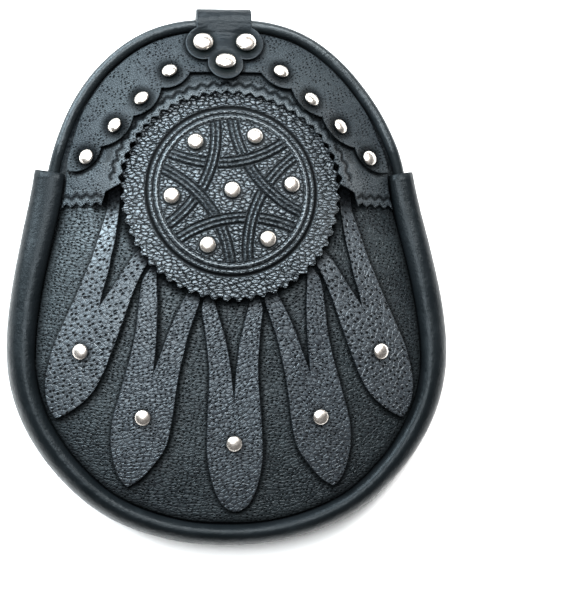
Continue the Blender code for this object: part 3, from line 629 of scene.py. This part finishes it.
# name, dark, light, rubbed tone and painted edge highlight, roughness, specular level, depth and stretch of the soft
# waves
smoothTable = (
    ("rollLeather", (0.002, 0.003, 0.0036), (0.004, 0.0052, 0.0062), (0.008, 0.011, 0.013), (0.28, 0.42), 0.10,
     0.0007, (1, 1, 1)),
    ("pipingLeather", (0.003, 0.004, 0.005), (0.006, 0.008, 0.009), (0.014, 0.018, 0.021), (0.30, 0.42), 0.28,
     0.0008, (1, 1, 1)),
    ("tabLeather", (0.003, 0.004, 0.005), (0.006, 0.008, 0.010), (0.022, 0.027, 0.031), (0.32, 0.46), 0.13,
     0.0018, (0.5, 1.6, 1.6)),
)
smoothColumns = ("dark", "light", "rubbedAndHighlight", "rough", "specular", "soft", "pull")
rollLeather, pipingLeather, tabLeather = (smoothLeather(name, dict(zip(smoothColumns, row)))
                                          for name, *row in smoothTable)
discLeather = tooledLeather("discLeather", {"grain": 690.0, "light": (0.062, 0.072, 0.082),
                                            "dark": (0.008, 0.010, 0.012), "smooth": (0.008, 0.010, 0.012),
                                            "deep": deepDyeAndShade, "specular": 0.64, "relief": 0.00056})
nickel = nickelPlate("nickel")
print("materials ready")

# back panel, gusset and piping

backEdge = [tuple(point) for point in spacedLine(rightEdge, 90)]
backPanel = flatSheet("backPanelHide", backEdge + mirrored(backEdge)[1:-1], body["backThick"], 0.5 * mm)
cutLines(backPanel, 9 * mm)
bendSheet(backPanel, backHeight, body["backThick"], {"waves": 0.0, "waveSize": 20 * mm, "seed": 1.0})
giveNormals(backPanel)
dress(backPanel, tabLeather, "back_panel")

gusset = smoothCopy("gusset_rim", "gussetRoll", 2, 0.9)
dress(gusset, rollLeather, "gusset_rim")
piping = smoothCopy("top_piping", "pipingRoll", 2, 0.9)
dress(piping, pipingLeather, "top_piping")
print("back, gusset and piping done")

# front panel
panelOptions = {"grid": 1.25 * mm, "rounding": 0.5 * mm, "waves": 0.35 * mm, "waveSize": 17 * mm, "seed": 3.0,
                "notch": (48.0 * mm, 33.0 * mm), "notchReach": 8.3 * mm, "notchDeep": 1.9 * mm, "underDisc": 3.6 * mm,
                "seamShade": 5.0 * mm, "contact": 1.7 * mm, "contactShift": 0.5 * mm}


def notchMarks(x, y):
    # sunk hollow where the flap, disc and feather meet, with painted shade in it, and a painted shadow line under the
    # disc's lower edge
    away = math.hypot(abs(x) - panelOptions["notch"][0], y - panelOptions["notch"][1]) / panelOptions["notchReach"]
    depth = math.exp(-away ** 4)
    under = 0.0
    if y < discY + 6 * mm:
        under = 1.0 - smoothStep(0.0, panelOptions["underDisc"], discReach(x, y) - discRadius)
    return panelOptions["notchDeep"] * depth, max(depth, under)


def panelMarks(x, y):
    # painted shade along the panel's seam too, and a painted shadow beside each feather's edge, set a little toward the
    # lower right
    sunk, dark = notchMarks(x, y)
    reach = math.hypot(x, y)
    seam = float(np.interp(math.degrees(math.atan2(y, abs(x))), seamBearing, seamReach))
    dark = max(dark, 0.85 * smoothStep(seam - panelOptions["seamShade"], seam - 0.5 * mm, reach))
    shift = panelOptions["contactShift"]
    return sunk, max(dark, beside(featherLines, x - shift, y + shift, panelOptions["contact"]))

# feathers
featherOptions = {"half": 0.872 * halfWidth, "depth": 1.213 * halfHeight, "rounding": 0.4 * mm, "grid": 1.6 * mm,
                  "lean": 0.039, "leanFrom": 0.37, "waves": 0.35 * mm, "waveSize": 13 * mm, "dimple": 0.35 * mm,
                  "halo": 3.6 * mm}
featherTurns = {"outer": 30, "mid": 14, "centre": -24}
outerFeather = (
    (-0.015, 0.640), (0.001, 0.656), (0.060, 0.668), (0.141, 0.713), (0.204, 0.747), (0.319, 0.829),
    (0.459, 0.939), (0.534, 0.980), (0.600, 1.000), (0.659, 0.989), (0.697, 0.958), (0.706, 0.925),
    (0.668, 0.817), (0.621, 0.738), (0.564, 0.684), (0.497, 0.638), (0.409, 0.582), (0.328, 0.534),
    (0.266, 0.488), (0.222, 0.446), (0.195, 0.427), (0.170, 0.468), (0.198, 0.521), (0.232, 0.564),
    (0.275, 0.611), (0.332, 0.677), (0.356, 0.704), (0.316, 0.689), (0.251, 0.657), (0.207, 0.643),
    (0.151, 0.621), (0.070, 0.602), (-0.015, 0.590),
)
midFeather = (
    (0.207, 0.402), (0.238, 0.433), (0.279, 0.478), (0.353, 0.499), (0.431, 0.514), (0.494, 0.536),
    (0.556, 0.564), (0.634, 0.602), (0.712, 0.639), (0.790, 0.647), (0.861, 0.623), (0.902, 0.590),
    (0.921, 0.556), (0.899, 0.494), (0.861, 0.431), (0.796, 0.353), (0.718, 0.320), (0.631, 0.300),
    (0.568, 0.282), (0.509, 0.260), (0.447, 0.233), (0.400, 0.206), (0.340, 0.172), (0.296, 0.172),
    (0.281, 0.212), (0.322, 0.246), (0.378, 0.296), (0.442, 0.344), (0.500, 0.379), (0.559, 0.418),
    (0.469, 0.404), (0.363, 0.396), (0.251, 0.400), (0.207, 0.376),
)
centreFeather = (
    (0.296, 0.142), (0.335, 0.150), (0.369, 0.164), (0.425, 0.151), (0.503, 0.138), (0.581, 0.133),
    (0.726, 0.148), (0.825, 0.150), (0.914, 0.122), (0.977, 0.071), (1.000, 0.000),
)
centreSlit = ((0.642, 0.000), (0.556, 0.013), (0.478, 0.032), (0.416, 0.058), (0.344, 0.092), (0.296, 0.108))
featherRivets = {"outer": (0.499, 0.805), "mid": (0.701, 0.475), "centre": (0.782, 0.012)}


def featherPoints(rows):
    return [(across * featherOptions["half"], discY - down * featherOptions["depth"]) for down, across in rows]


def straightness(first, second):
    # one where the line runs straight on, nothing at a square corner
    return np.dot(first, second) / (np.linalg.norm(first) * np.linalg.norm(second) + 1e-12)


def softened(points):
    # rounds a cut outline, keeping its corners near their places
    ring = [points[-1], *points, points[0], points[1]]
    line = []
    for index in range(1, len(ring) - 2):
        before, here, there, after = (np.array(ring[index + step], dtype=float) for step in (-1, 0, 1, 2))
        tangentHere = (there - before) / 2 if straightness(here - before, there - here) > 0.35 else there - here
        tangentThere = (after - here) / 2 if straightness(there - here, after - there) > 0.35 else there - here
        for step in range(4):
            t = step / 4
            line.append(tuple((2 * t ** 3 - 3 * t ** 2 + 1) * here + (t ** 3 - 2 * t ** 2 + t) * tangentHere
                              + (-2 * t ** 3 + 3 * t ** 2) * there + (t ** 3 - t ** 2) * tangentThere))
    return line


featherLines = np.zeros((0, 2))


def makeFeather(node, kind, points, rivet, seed):
    global featherLines
    line = softened(points)
    featherLines = np.concatenate([featherLines, dense([*line, line[0]])])
    piece = flatSheet(node + "Hide", line, body["thinLeather"], featherOptions["rounding"])
    cutLines(piece, featherOptions["grid"])
    bendSheet(piece, featherBase, body["thinLeather"], {**featherOptions, "seed": seed}, [rivet], notchMarks)
    giveNormals(piece)
    side = 1 if rivet[0] > 0 else -1
    look = {**leatherLooks["feather"], "turn": side * featherTurns[kind]}
    if kind == "outer":
        look.update({"pores": 480.0, "bare": 0.30, "specular": 0.60})
    dress(piece, grainedLeather(node + "Leather", look), node)
    return piece


for kind, rows in (("outer", outerFeather), ("mid", midFeather)):
    points = featherPoints(rows)
    spot, = featherPoints([featherRivets[kind]])
    makeFeather(f"feather_{kind}_right", kind, points, spot, 5.0 + len(kind))
    makeFeather(f"feather_{kind}_left", kind, mirrored(points), (-spot[0], spot[1]), 9.0 + len(kind))
leftEdge = [(down, -across) for down, across in reversed(centreFeather[:-1])]
rows = [*centreFeather, *leftEdge, *[(down, -across) for down, across in reversed(centreSlit)], *centreSlit[1:]]
rows = [(down, across + featherOptions["lean"] * max(0.0, down - featherOptions["leanFrom"])) for down, across in rows]
makeFeather("feather_centre", "centre", featherPoints(rows), featherPoints([featherRivets["centre"]])[0], 17.0)
print("feathers done")

right = [point for point in seamLine(body["shoulder"], -halfHeight, 80, body["gap"]) if point[0] > 0.4 * mm]
right = right + [(0.0, right[-1][1])]
frontPanel = flatSheet("frontPanelHide", right + mirrored(right)[1:], body["leather"], panelOptions["rounding"])
cutLines(frontPanel, panelOptions["grid"])
bendSheet(frontPanel, lambda x, y: frontHeight(x, y) - body["leather"], body["leather"], panelOptions,
          marks=panelMarks)
giveNormals(frontPanel)
dress(frontPanel, panelLeather, "front_panel")
print("front panel done")

# flap and scalloped band
flapOptions = {"archTop": discRadius - 5.0 * mm, "archSide": discRadius - 0.4 * mm, "archFoot": 4.0,
               "wingTip": (discRadius + 7.6 * mm, discY - 5.8 * mm), "wingEnd": discY - 6.4 * mm,
               "notch": (discRadius + 6.0 * mm, discY - 0.2 * mm), "rounding": 0.4 * mm, "grid": 0.65 * mm,
               "waves": 0.25 * mm, "waveSize": 14 * mm, "seed": 21.0, "grooveIn": 3.6 * mm, "grooveHalf": 0.85 * mm,
               "grooveDeep": 0.7 * mm, "foldIn": 7.4 * mm, "foldHalf": 1.8 * mm, "wingGroove": 3.4 * mm}
bandOptions = {"rounding": 0.4 * mm, "grid": 1.2 * mm, "waves": 0.2 * mm, "waveSize": 15 * mm, "seed": 31.0,
               "dimple": 1.3 * mm, "halo": 5.1 * mm, "sag": 0.17}
bandCusps = [(across * halfWidth, up * halfHeight) for across, up in
             ((0.170, 0.775), (0.309, 0.713), (0.447, 0.603), (0.604, 0.491), (0.727, 0.397))]
bandRivets = [(across * halfWidth, up * halfHeight) for across, up in
              ((0.264, 0.780), (0.403, 0.673), (0.534, 0.570), (0.676, 0.453))]


def archReach(turn):
    return flapOptions["archTop"] + (flapOptions["archSide"] - flapOptions["archTop"]) * abs(math.cos(turn)) ** 2.5


def archLine():
    line = []
    for step in range(121):
        turn = math.radians(flapOptions["archFoot"] + (180 - 2 * flapOptions["archFoot"]) * step / 120)
        reach = archReach(turn)
        line.append((discX + reach * math.cos(turn), discY + reach * math.sin(turn)))
    return pinkedLine(line)


def pressedLine():
    # the zigzag pressed into the flap: its cut edge, moved out
    line = []
    for x, y in archLine():
        reach = discReach(x, y)
        share = (reach + flapOptions["grooveIn"]) / reach
        line.append((discX + (x - discX) * share, discY + (y - discY) * share))
    line = [point for point in line if point[1] > discY + 4 * mm]
    outer = seamLine(halfHeight, flapOptions["wingEnd"], 60, body["gap"])[-1]
    wing = [(x, y + flapOptions["wingGroove"]) for x, y in pinkedLine([outer, flapOptions["wingTip"]])]
    return np.array(spacedLine(line, 900).tolist() + wing + mirrored(wing))


pressed = pressedLine()


def flapMarks(x, y):
    # the zigzag groove along the pinked edges, with a soft ridge beside it and a fold beyond; the groove and the fold
    # carry painted shade, and a painted shadow lies just below the band's scalloped edge
    away = float(np.min(np.hypot(pressed[:, 0] - x, pressed[:, 1] - y)))
    groove = max(0.0, 1.0 - (away / flapOptions["grooveHalf"]) ** 2)
    past = discReach(x, y) - archReach(math.atan2(y - discY, x - discX))
    ridge = math.exp(-((away - 1.5 * mm) / (0.6 * mm)) ** 2)
    fold = 0.0
    if y > discY + 12 * mm:
        fold = math.exp(-((past - flapOptions["foldIn"]) / flapOptions["foldHalf"]) ** 2)
    dark = max(groove ** 0.5, 0.55 * fold, beside(bandLines, x, y + 0.5 * mm, 1.5 * mm))
    return flapOptions["grooveDeep"] * groove - 0.2 * mm * ridge + 0.25 * mm * fold, dark


def makeFlap():
    outer = arcEdge(flapOptions["wingEnd"], 60)
    outer[-1] = (outer[-1][0], flapOptions["wingEnd"])
    wing = pinkedLine([outer[-1], flapOptions["wingTip"]])
    arch = archLine()
    outline = outer[1:] + wing[1:] + [flapOptions["notch"]] + arch + mirrored([flapOptions["notch"]])
    outline += mirrored(wing[1:]) + mirrored(outer)
    piece = flatSheet("flapHide", outline, body["leather"], flapOptions["rounding"])
    cutLines(piece, flapOptions["grid"])
    bendSheet(piece, flapBase, body["leather"], flapOptions, marks=flapMarks)
    giveNormals(piece)
    dress(piece, flapLeather, "flap")


def arcEdge(low, count):
    # the seam line's right half, from the middle of the top down to a level
    line = [point for point in seamLine(halfHeight, low, count, body["gap"]) if point[0] > 0.6 * mm]
    return [(0.0, line[0][1])] + line


def bandEdge():
    # the scalloped edge of the right half, from its outer end to the middle
    edge = []
    for (xA, yA), (xB, yB) in zip(bandCusps, bandCusps[1:]):
        chord = math.hypot(xB - xA, yB - yA)
        side = ((yB - yA) / chord, -(xB - xA) / chord)
        for step in range(14):
            share = step / 14
            sag = bandOptions["sag"] * chord * math.sin(math.pi * share) ** 0.8
            edge.append((xA + (xB - xA) * share + side[0] * sag, yA + (yB - yA) * share + side[1] * sag))
    return list(reversed(edge + [bandCusps[-1]]))


def bandMarks(x, y):
    # painted shadow just below the tab's trefoil edge
    return 0.0, beside(tabLines, x, y + 0.4 * mm, 1.6 * mm)


def makeBand():
    outer = arcEdge(bandCusps[-1][1], 56)
    edge = bandEdge()
    piece = flatSheet("bandHide", outer[1:] + edge + mirrored(edge) + mirrored(outer), body["thinLeather"],
                      bandOptions["rounding"])
    cutLines(piece, bandOptions["grid"])
    rivets = bandRivets + [(-x, y) for x, y in bandRivets]
    bendSheet(piece, bandBase, body["thinLeather"], bandOptions, rivets, bandMarks)
    giveNormals(piece)
    dress(piece, bandLeather, "scalloped_band")


# hanger tab
tabOptions = {"neck": 11.4 * mm, "lobe": 7.2 * mm, "spread": 8.8 * mm, "level": halfHeight - 11.1 * mm,
              "drop": 8.9 * mm, "top": halfHeight + 4.2 * mm, "seat": halfHeight - 5.0 * mm,
              "end": halfHeight - 34.0 * mm, "foldCentre": halfHeight - 2.4 * mm, "square": 0.78,
              "rounding": 0.5 * mm, "grid": 0.9 * mm, "dimple": 0.9 * mm, "halo": 5.9 * mm}
tabRivets = [(tabOptions["spread"], tabOptions["level"]), (-tabOptions["spread"], tabOptions["level"]),
             (0.0, tabOptions["level"] - tabOptions["drop"])]


def trefoilHalf():
    # the right edge, round the upper lobe and down to the middle of the lower one
    lobe, spread, drop = tabOptions["lobe"], tabOptions["spread"], tabOptions["drop"]
    between = math.atan2(drop, spread)
    meet = math.acos(math.hypot(spread, drop) / 2 / lobe)
    neck = math.acos((tabOptions["neck"] - spread) / lobe)
    turns = [(tabRivets[0], turn) for turn in np.linspace(neck, between - math.pi + meet, 40)]
    turns += [(tabRivets[2], turn) for turn in np.linspace(between - meet, -math.pi / 2, 24)[1:]]
    half = [(x + lobe * math.cos(turn), y + lobe * math.sin(turn)) for (x, y), turn in turns]
    return half[:-1] + [(0.0, half[-1][1])]


def makeTab():
    low = body["tabThick"]
    high = pipingCrest()
    centre = tabOptions["foldCentre"]
    reach = tabOptions["top"] - body["tabThick"] - centre
    route = [(tabOptions["seat"], high), (centre, high)]
    for step in range(1, 32):
        turn = math.pi / 2 - math.pi * step / 32
        across = abs(math.cos(turn)) ** tabOptions["square"]
        up = math.copysign(abs(math.sin(turn)) ** tabOptions["square"], math.sin(turn))
        route.append((centre + reach * across, (low + high) / 2 + (high - low) / 2 * up))
    route = np.array(route + [(centre, low), (tabOptions["end"], low)])
    along = np.concatenate([[0.0], np.cumsum(np.linalg.norm(np.diff(route, axis=0), axis=1))])
    run = np.gradient(route, axis=0)
    run /= np.linalg.norm(run, axis=1)[:, None]
    outward = np.stack([-run[:, 1], run[:, 0]], axis=1)
    edge = [(tabOptions["neck"], tabOptions["seat"] + along[-1]), *trefoilHalf()]
    piece = flatSheet("tabHide", edge + mirrored(edge[:-1]), body["tabThick"], tabOptions["rounding"])
    useOnly(piece)
    bpy.ops.object.mode_set(mode="EDIT")
    for spot in along[1:-1]:
        bpy.ops.mesh.select_all(action="SELECT")
        bpy.ops.mesh.bisect(plane_co=(0, tabOptions["seat"] + spot, 0), plane_no=(0, 1, 0), threshold=1e-5)
    bpy.ops.object.mode_set(mode="OBJECT")
    cutLines(piece, tabOptions["grid"])
    shades, edges = [], []
    for vert in piece.data.vertices:
        x, y, up = vert.co
        edges.append(onCut(up, body["tabThick"]))
        vert.co.x += archLean(min(y, tabOptions["seat"]))
        sunk, dark = 0.0, 0.0
        if y <= tabOptions["seat"]:
            for rivetX, rivetY in tabRivets:
                away = math.hypot(x - rivetX, y - rivetY) / tabOptions["halo"]
                sunk = max(sunk, tabOptions["dimple"] * math.exp(-away ** 4))
                # painted shade ring round the rivet's dimple
                dark = max(dark, math.exp(-away ** 8))
            shades.append(dark)
            vert.co.z = tabBase(x, y) + up - sunk
            continue
        shades.append(dark)
        spot = [float(np.interp(y - tabOptions["seat"], along, route[:, axis])) for axis in (0, 1)]
        out = [float(np.interp(y - tabOptions["seat"], along, outward[:, axis])) for axis in (0, 1)]
        vert.co.y = spot[0] + out[0] * up
        vert.co.z = spot[1] + out[1] * up
    addMarks(piece, "shade", shades)
    addMarks(piece, "edge", edges)
    piece.data.update()
    openMesh(piece)
    closeOutward()
    giveNormals(piece)
    dress(piece, tabLeather, "hanger_tab")


bandLines = dense(bandEdge() + mirrored(bandEdge()))
tabLines = dense(trefoilHalf() + mirrored(trefoilHalf()[:-1]))
makeFlap()
makeBand()
print("flap and band done")
makeTab()
print("hanger tab done")

# tooled medallion
discOptions = {"radius": discRadius, "teeth": 56, "toothDepth": 1.6 * mm, "sectors": 448, "rings": 124,
               "reach": 11.3 * mm, "arc": 46.5 * mm, "turn": 35.3, "ringFrom": 29.0 * mm,
               "bandHalf": 2.7 * mm, "rivetRing": 24.1 * mm, "rivetTurn": 5.6,
               "rivetWell": (3.5 * mm, 4.4 * mm), "toothFrom": 0.8,
               "speckle": 0.40, "bandFlat": 1.9 * mm}
# place and half width of each ring's and each band's ridges and grooves
ringTools = {"ridge": (30.4 * mm, 1.0 * mm), "inner": (29.1 * mm, 0.6 * mm), "outer": (31.7 * mm, 0.65 * mm),
             "wide": (34.2 * mm, 1.3 * mm), "rim": (32.9 * mm, 1.0 * mm)}
bandTools = {"ridge": (0.95 * mm, 0.75 * mm), "inner": (0.0, 0.55 * mm), "outer": (2.0 * mm, 0.75 * mm)}


discRivets = [(0.0, 0.0)]
for index in range(6):
    rivetTurn = math.radians(discOptions["rivetTurn"] + 60 * index)
    discRivets.append((discOptions["rivetRing"] * math.cos(rivetTurn), discOptions["rivetRing"] * math.sin(rivetTurn)))


def bump(value, centre, half):
    # smooth hump, one at the centre and nothing past half its width
    away = abs(value - centre) / half
    return 0.0 if away >= 1.0 else 0.5 + 0.5 * math.cos(math.pi * away)


def bandAt(x, y, index):
    # distance from a band's middle line
    middle = math.radians(discOptions["turn"] + 60 * index)
    far = discOptions["reach"] + discOptions["arc"]
    return abs(math.hypot(x - far * math.cos(middle), y - far * math.sin(middle)) - discOptions["arc"])


def tooling(x, y):
    # relief, stipple and groove of the tooled face at one point; the groove mark paints shade into the tooled grooves
    # and the rivet wells
    reach = math.hypot(x, y)
    relief, stipple, groove = 0.0, 1.0, 0.0
    if reach > discOptions["ringFrom"]:
        ridge, inner, outer, wide, rim = (bump(reach, *tool) for tool in ringTools.values())
        relief = 0.7 * ridge - 0.5 * inner - 0.7 * outer - 1.1 * wide + 0.3 * rim
        stipple = 1.0 - max(ridge, inner, outer, min(1.0, 1.6 * wide), 0.7 * rim)
        groove = max(0.85 * inner, outer, min(1.0, 1.3 * wide))
        return relief * mm, max(0.0, stipple), groove
    for rivetX, rivetY in discRivets:
        away = math.hypot(x - rivetX, y - rivetY)
        if away < discOptions["rivetWell"][1]:
            ring = 1.0 - smoothStep(*discOptions["rivetWell"], away)
            # painted shade in the rivet's well
            return -0.3 * mm * ring, 1.0 - ring, 0.9 * ring
    spots = [bandAt(x, y, index) for index in range(6)]
    # each band dives under its neighbour on one side and rides over the other
    half = discOptions["bandHalf"]
    shown = [away for index, away in enumerate(spots) if away <= half and spots[(index + 1) % 6] >= half]
    if not shown:
        return 0.0, 1.0, 0.0
    best = min(shown)
    ridge, inner, outer = (bump(best, *tool) for tool in bandTools.values())
    relief = 0.65 * ridge - 0.45 * inner - 0.85 * outer
    stipple = discOptions["speckle"] if best < discOptions["bandFlat"] else 1.0 - outer
    return relief * mm, max(0.0, stipple), max(0.95 * inner, outer)


def makeDisc():
    deselectAll()
    sectors, rings = discOptions["sectors"], discOptions["rings"]
    bpy.ops.mesh.primitive_grid_add(x_subdivisions=sectors, y_subdivisions=rings, size=2)
    piece = bpy.context.object
    piece.name = "medallionHide"
    toothTurn = math.tau / discOptions["teeth"]
    stipples, grooves = [], []
    for vert in piece.data.vertices:
        turn = -(vert.co.x + 1.0) / 2.0 * math.tau
        share = (vert.co.y + 1.0) / 2.0
        tooth = abs(((turn / toothTurn) % 1.0) - 0.5) * 2.0
        edge = discOptions["radius"] - discOptions["toothDepth"] * smoothStep(0.06, 0.94, tooth)
        reach = share * discOptions["radius"]
        if share > discOptions["toothFrom"]:
            blend = (share - discOptions["toothFrom"]) / (1.0 - discOptions["toothFrom"])
            reach = share * (discOptions["radius"] * (1 - blend) + edge * blend)
        x, y = reach * math.cos(turn), reach * math.sin(turn)
        relief, stipple, groove = tooling(x, y)
        rounding = -0.5 * mm * max(0.0, (share - 0.985) / 0.015) ** 2
        stipples.append(stipple)
        grooves.append(groove)
        level = discBase(x + discX, y + discY) + body["leather"] + relief + rounding
        vert.co = (x + discX, y + discY, level + 0.12 * mm * wave(x, y, 9 * mm, 41.0))
    addMarks(piece, "stipple", stipples)
    addMarks(piece, "groove", grooves)
    openMesh(piece)
    bpy.ops.mesh.remove_doubles(threshold=1e-5)
    bpy.ops.mesh.normals_make_consistent(inside=False)
    bpy.ops.mesh.select_all(action="DESELECT")
    bpy.ops.mesh.select_non_manifold(extend=False)
    bpy.ops.mesh.extrude_edges_move(TRANSFORM_OT_translate={"value": (0, 0, -body["leather"] + 0.5 * mm)})
    bpy.ops.mesh.edge_face_add()
    closeOutward()
    useOnly(piece)
    bpy.ops.object.shade_smooth_by_angle(angle=math.radians(50))
    dress(piece, discLeather, "medallion")


makeDisc()
print("medallion done")

# rivets
rivetOptions = {"small": (6.4 * mm, 2.0 * mm), "large": (8.4 * mm, 2.6 * mm)}


def makeCap(name, across, height):
    deselectAll()
    bpy.ops.mesh.primitive_uv_sphere_add(segments=40, ring_count=20, radius=across / 2)
    piece = bpy.context.object
    piece.name = name
    openMesh(piece)
    bpy.ops.mesh.bisect(plane_co=(0, 0, 0), plane_no=(0, 0, 1), clear_inner=True, threshold=1e-6)
    bpy.ops.mesh.select_all(action="SELECT")
    bpy.ops.transform.resize(value=(1, 1, (height - 0.45 * mm) / (across / 2)))
    bpy.ops.mesh.select_all(action="DESELECT")
    bpy.ops.mesh.select_non_manifold(extend=False)
    bpy.ops.mesh.extrude_edges_move(TRANSFORM_OT_translate={"value": (0, 0, -0.3 * mm)})
    bpy.ops.mesh.extrude_edges_move(TRANSFORM_OT_translate={"value": (0, 0, -0.15 * mm)})
    bpy.ops.transform.resize(value=(0.95, 0.95, 1.0))
    bpy.ops.mesh.edge_face_add()
    bpy.ops.mesh.select_all(action="SELECT")
    bpy.ops.mesh.normals_make_consistent(inside=False)
    bpy.ops.transform.translate(value=(0, 0, 0.45 * mm))
    bpy.ops.object.mode_set(mode="OBJECT")
    bpy.ops.object.shade_smooth_by_angle(angle=math.radians(50))
    return piece


def placeRivet(pattern, node, x, y, under, thick, sink=0.0):
    reach = 3.2 * mm
    slopeX = (under(x + reach, y) - under(x - reach, y)) / (2 * reach)
    slopeY = (under(x, y + reach) - under(x, y - reach)) / (2 * reach)
    normal = Vector((-slopeX, -slopeY, 1.0)).normalized()
    bulge = 0.0
    for step in range(16):
        across = reach * math.cos(math.tau * step / 16)
        along = reach * math.sin(math.tau * step / 16)
        bulge = max(bulge, under(x + across, y + along) - under(x, y) - slopeX * across - slopeY * along)
    turned = Vector((0, 0, 1)).rotation_difference(normal).to_matrix().to_4x4()
    seat = Vector((x + archLean(y), y, under(x, y) + thick)) + normal * (0.05 * mm + bulge - sink)
    cap = linkNew(node + "_cap", pattern.data.copy())
    cap.data.transform(Matrix.Translation(seat) @ turned)
    dress(cap, nickel, node)


smallCap = makeCap("smallCap", *rivetOptions["small"])
largeCap = makeCap("largeCap", *rivetOptions["large"])
for index, (x, y) in enumerate(tabRivets, 1):
    placeRivet(largeCap, f"tab_rivet_{index}", x, y, tabBase, body["tabThick"], tabOptions["dimple"] - 0.1 * mm)
for index, (x, y) in enumerate(bandRivets, 1):
    for side, turned in (("right", x), ("left", -x)):
        placeRivet(smallCap, f"band_rivet_{side}_{index}", turned, y, bandBase, body["thinLeather"],
                   bandOptions["dimple"] - 0.2 * mm)
for index, (x, y) in enumerate(discRivets):
    placeRivet(smallCap, f"medallion_rivet_{index or 'centre'}", discX + x, discY + y, discBase, body["leather"],
               0.15 * mm)
for kind in ("outer", "mid"):
    (x, y), = featherPoints([featherRivets[kind]])
    for side, turned in (("right", x), ("left", -x)):
        placeRivet(smallCap, f"feather_rivet_{kind}_{side}", turned, y, featherBase, body["thinLeather"], 0.25 * mm)
(x, y), = featherPoints([featherRivets["centre"]])
placeRivet(smallCap, "feather_rivet_centre", x, y, featherBase, body["thinLeather"], 0.25 * mm)
for pattern in (smallCap, largeCap):
    bpy.data.objects.remove(pattern, do_unlink=True)
print("rivets done")

# floor, light and camera
studio = {"target": (-7 * mm, -10 * mm, 12 * mm), "distance": 741 * mm, "lean": 3.5, "frameHeight": 248.1 * mm,
          "sensor": 36.0, "shift": 0.126}
deselectAll()
bpy.ops.mesh.primitive_plane_add(size=6.0, location=(0, 0, -0.0002))
floor = bpy.context.object
floor.name = "studioFloor"
floorBench = NodeBench("floorPaper")
floorTone = floorBench.range(floorBench.noise(3.0, 2.0, 0.5), 0.3, 0.7, 0.93, 0.96)
floorBench.wire(floorTone, floorBench.shader.inputs["Base Color"])
floorBench.shader.inputs["Roughness"].default_value = 0.9
floor.data.materials.append(floorBench.material)


def addLight(name, place, aim, size, power, color=(1, 1, 1)):
    lamp = bpy.data.lights.new(name, "AREA")
    lamp.shape = "RECTANGLE"
    lamp.size, lamp.size_y = size
    lamp.energy = power
    lamp.color = color
    holder = linkNew(name, lamp)
    holder.location = place
    holder.rotation_euler = (Vector(aim) - Vector(place)).to_track_quat("-Z", "Y").to_euler()


addLight("keyLight", (0.30, 0.80, 1.00), (0, 0, 0.02), (0.55, 0.55), 34.0, (1.0, 0.99, 0.97))
addLight("leftSheen", (-0.80, 0.75, 0.50), (0, 0, 0.02), (0.7, 0.5), 36.0, (0.84, 0.95, 1.0))
addLight("topSheen", (-0.45, 1.00, 0.60), (0, 0, 0.02), (0.9, 0.4), 14.0, (0.86, 0.95, 1.0))
addLight("overhead", (-0.34, 0.30, 1.60), (0, 0, 0), (0.7, 0.7), 40.0, (0.96, 0.99, 1.0))
world = bpy.data.worlds.new("studioWorld")
bpy.context.scene.world = world
world.use_nodes = True
world.node_tree.nodes["Background"].inputs["Color"].default_value = (1.0, 0.99, 0.98, 1.0)
world.node_tree.nodes["Background"].inputs["Strength"].default_value = 0.18
bpy.context.scene.view_settings.view_transform = "Standard"

lean = math.radians(studio["lean"])
lens = bpy.data.cameras.new("photoCamera")
lens.sensor_width = studio["sensor"]
lens.lens = studio["sensor"] * studio["distance"] / studio["frameHeight"]
lens.shift_x = studio["shift"]
camera = linkNew("photoCamera", lens)
camera.location = Vector(studio["target"]) + studio["distance"] * Vector((-math.sin(lean), 0.0, math.cos(lean)))
camera.rotation_euler = (0.0, -lean, 0.0)
bpy.context.scene.camera = camera
print("studio ready")
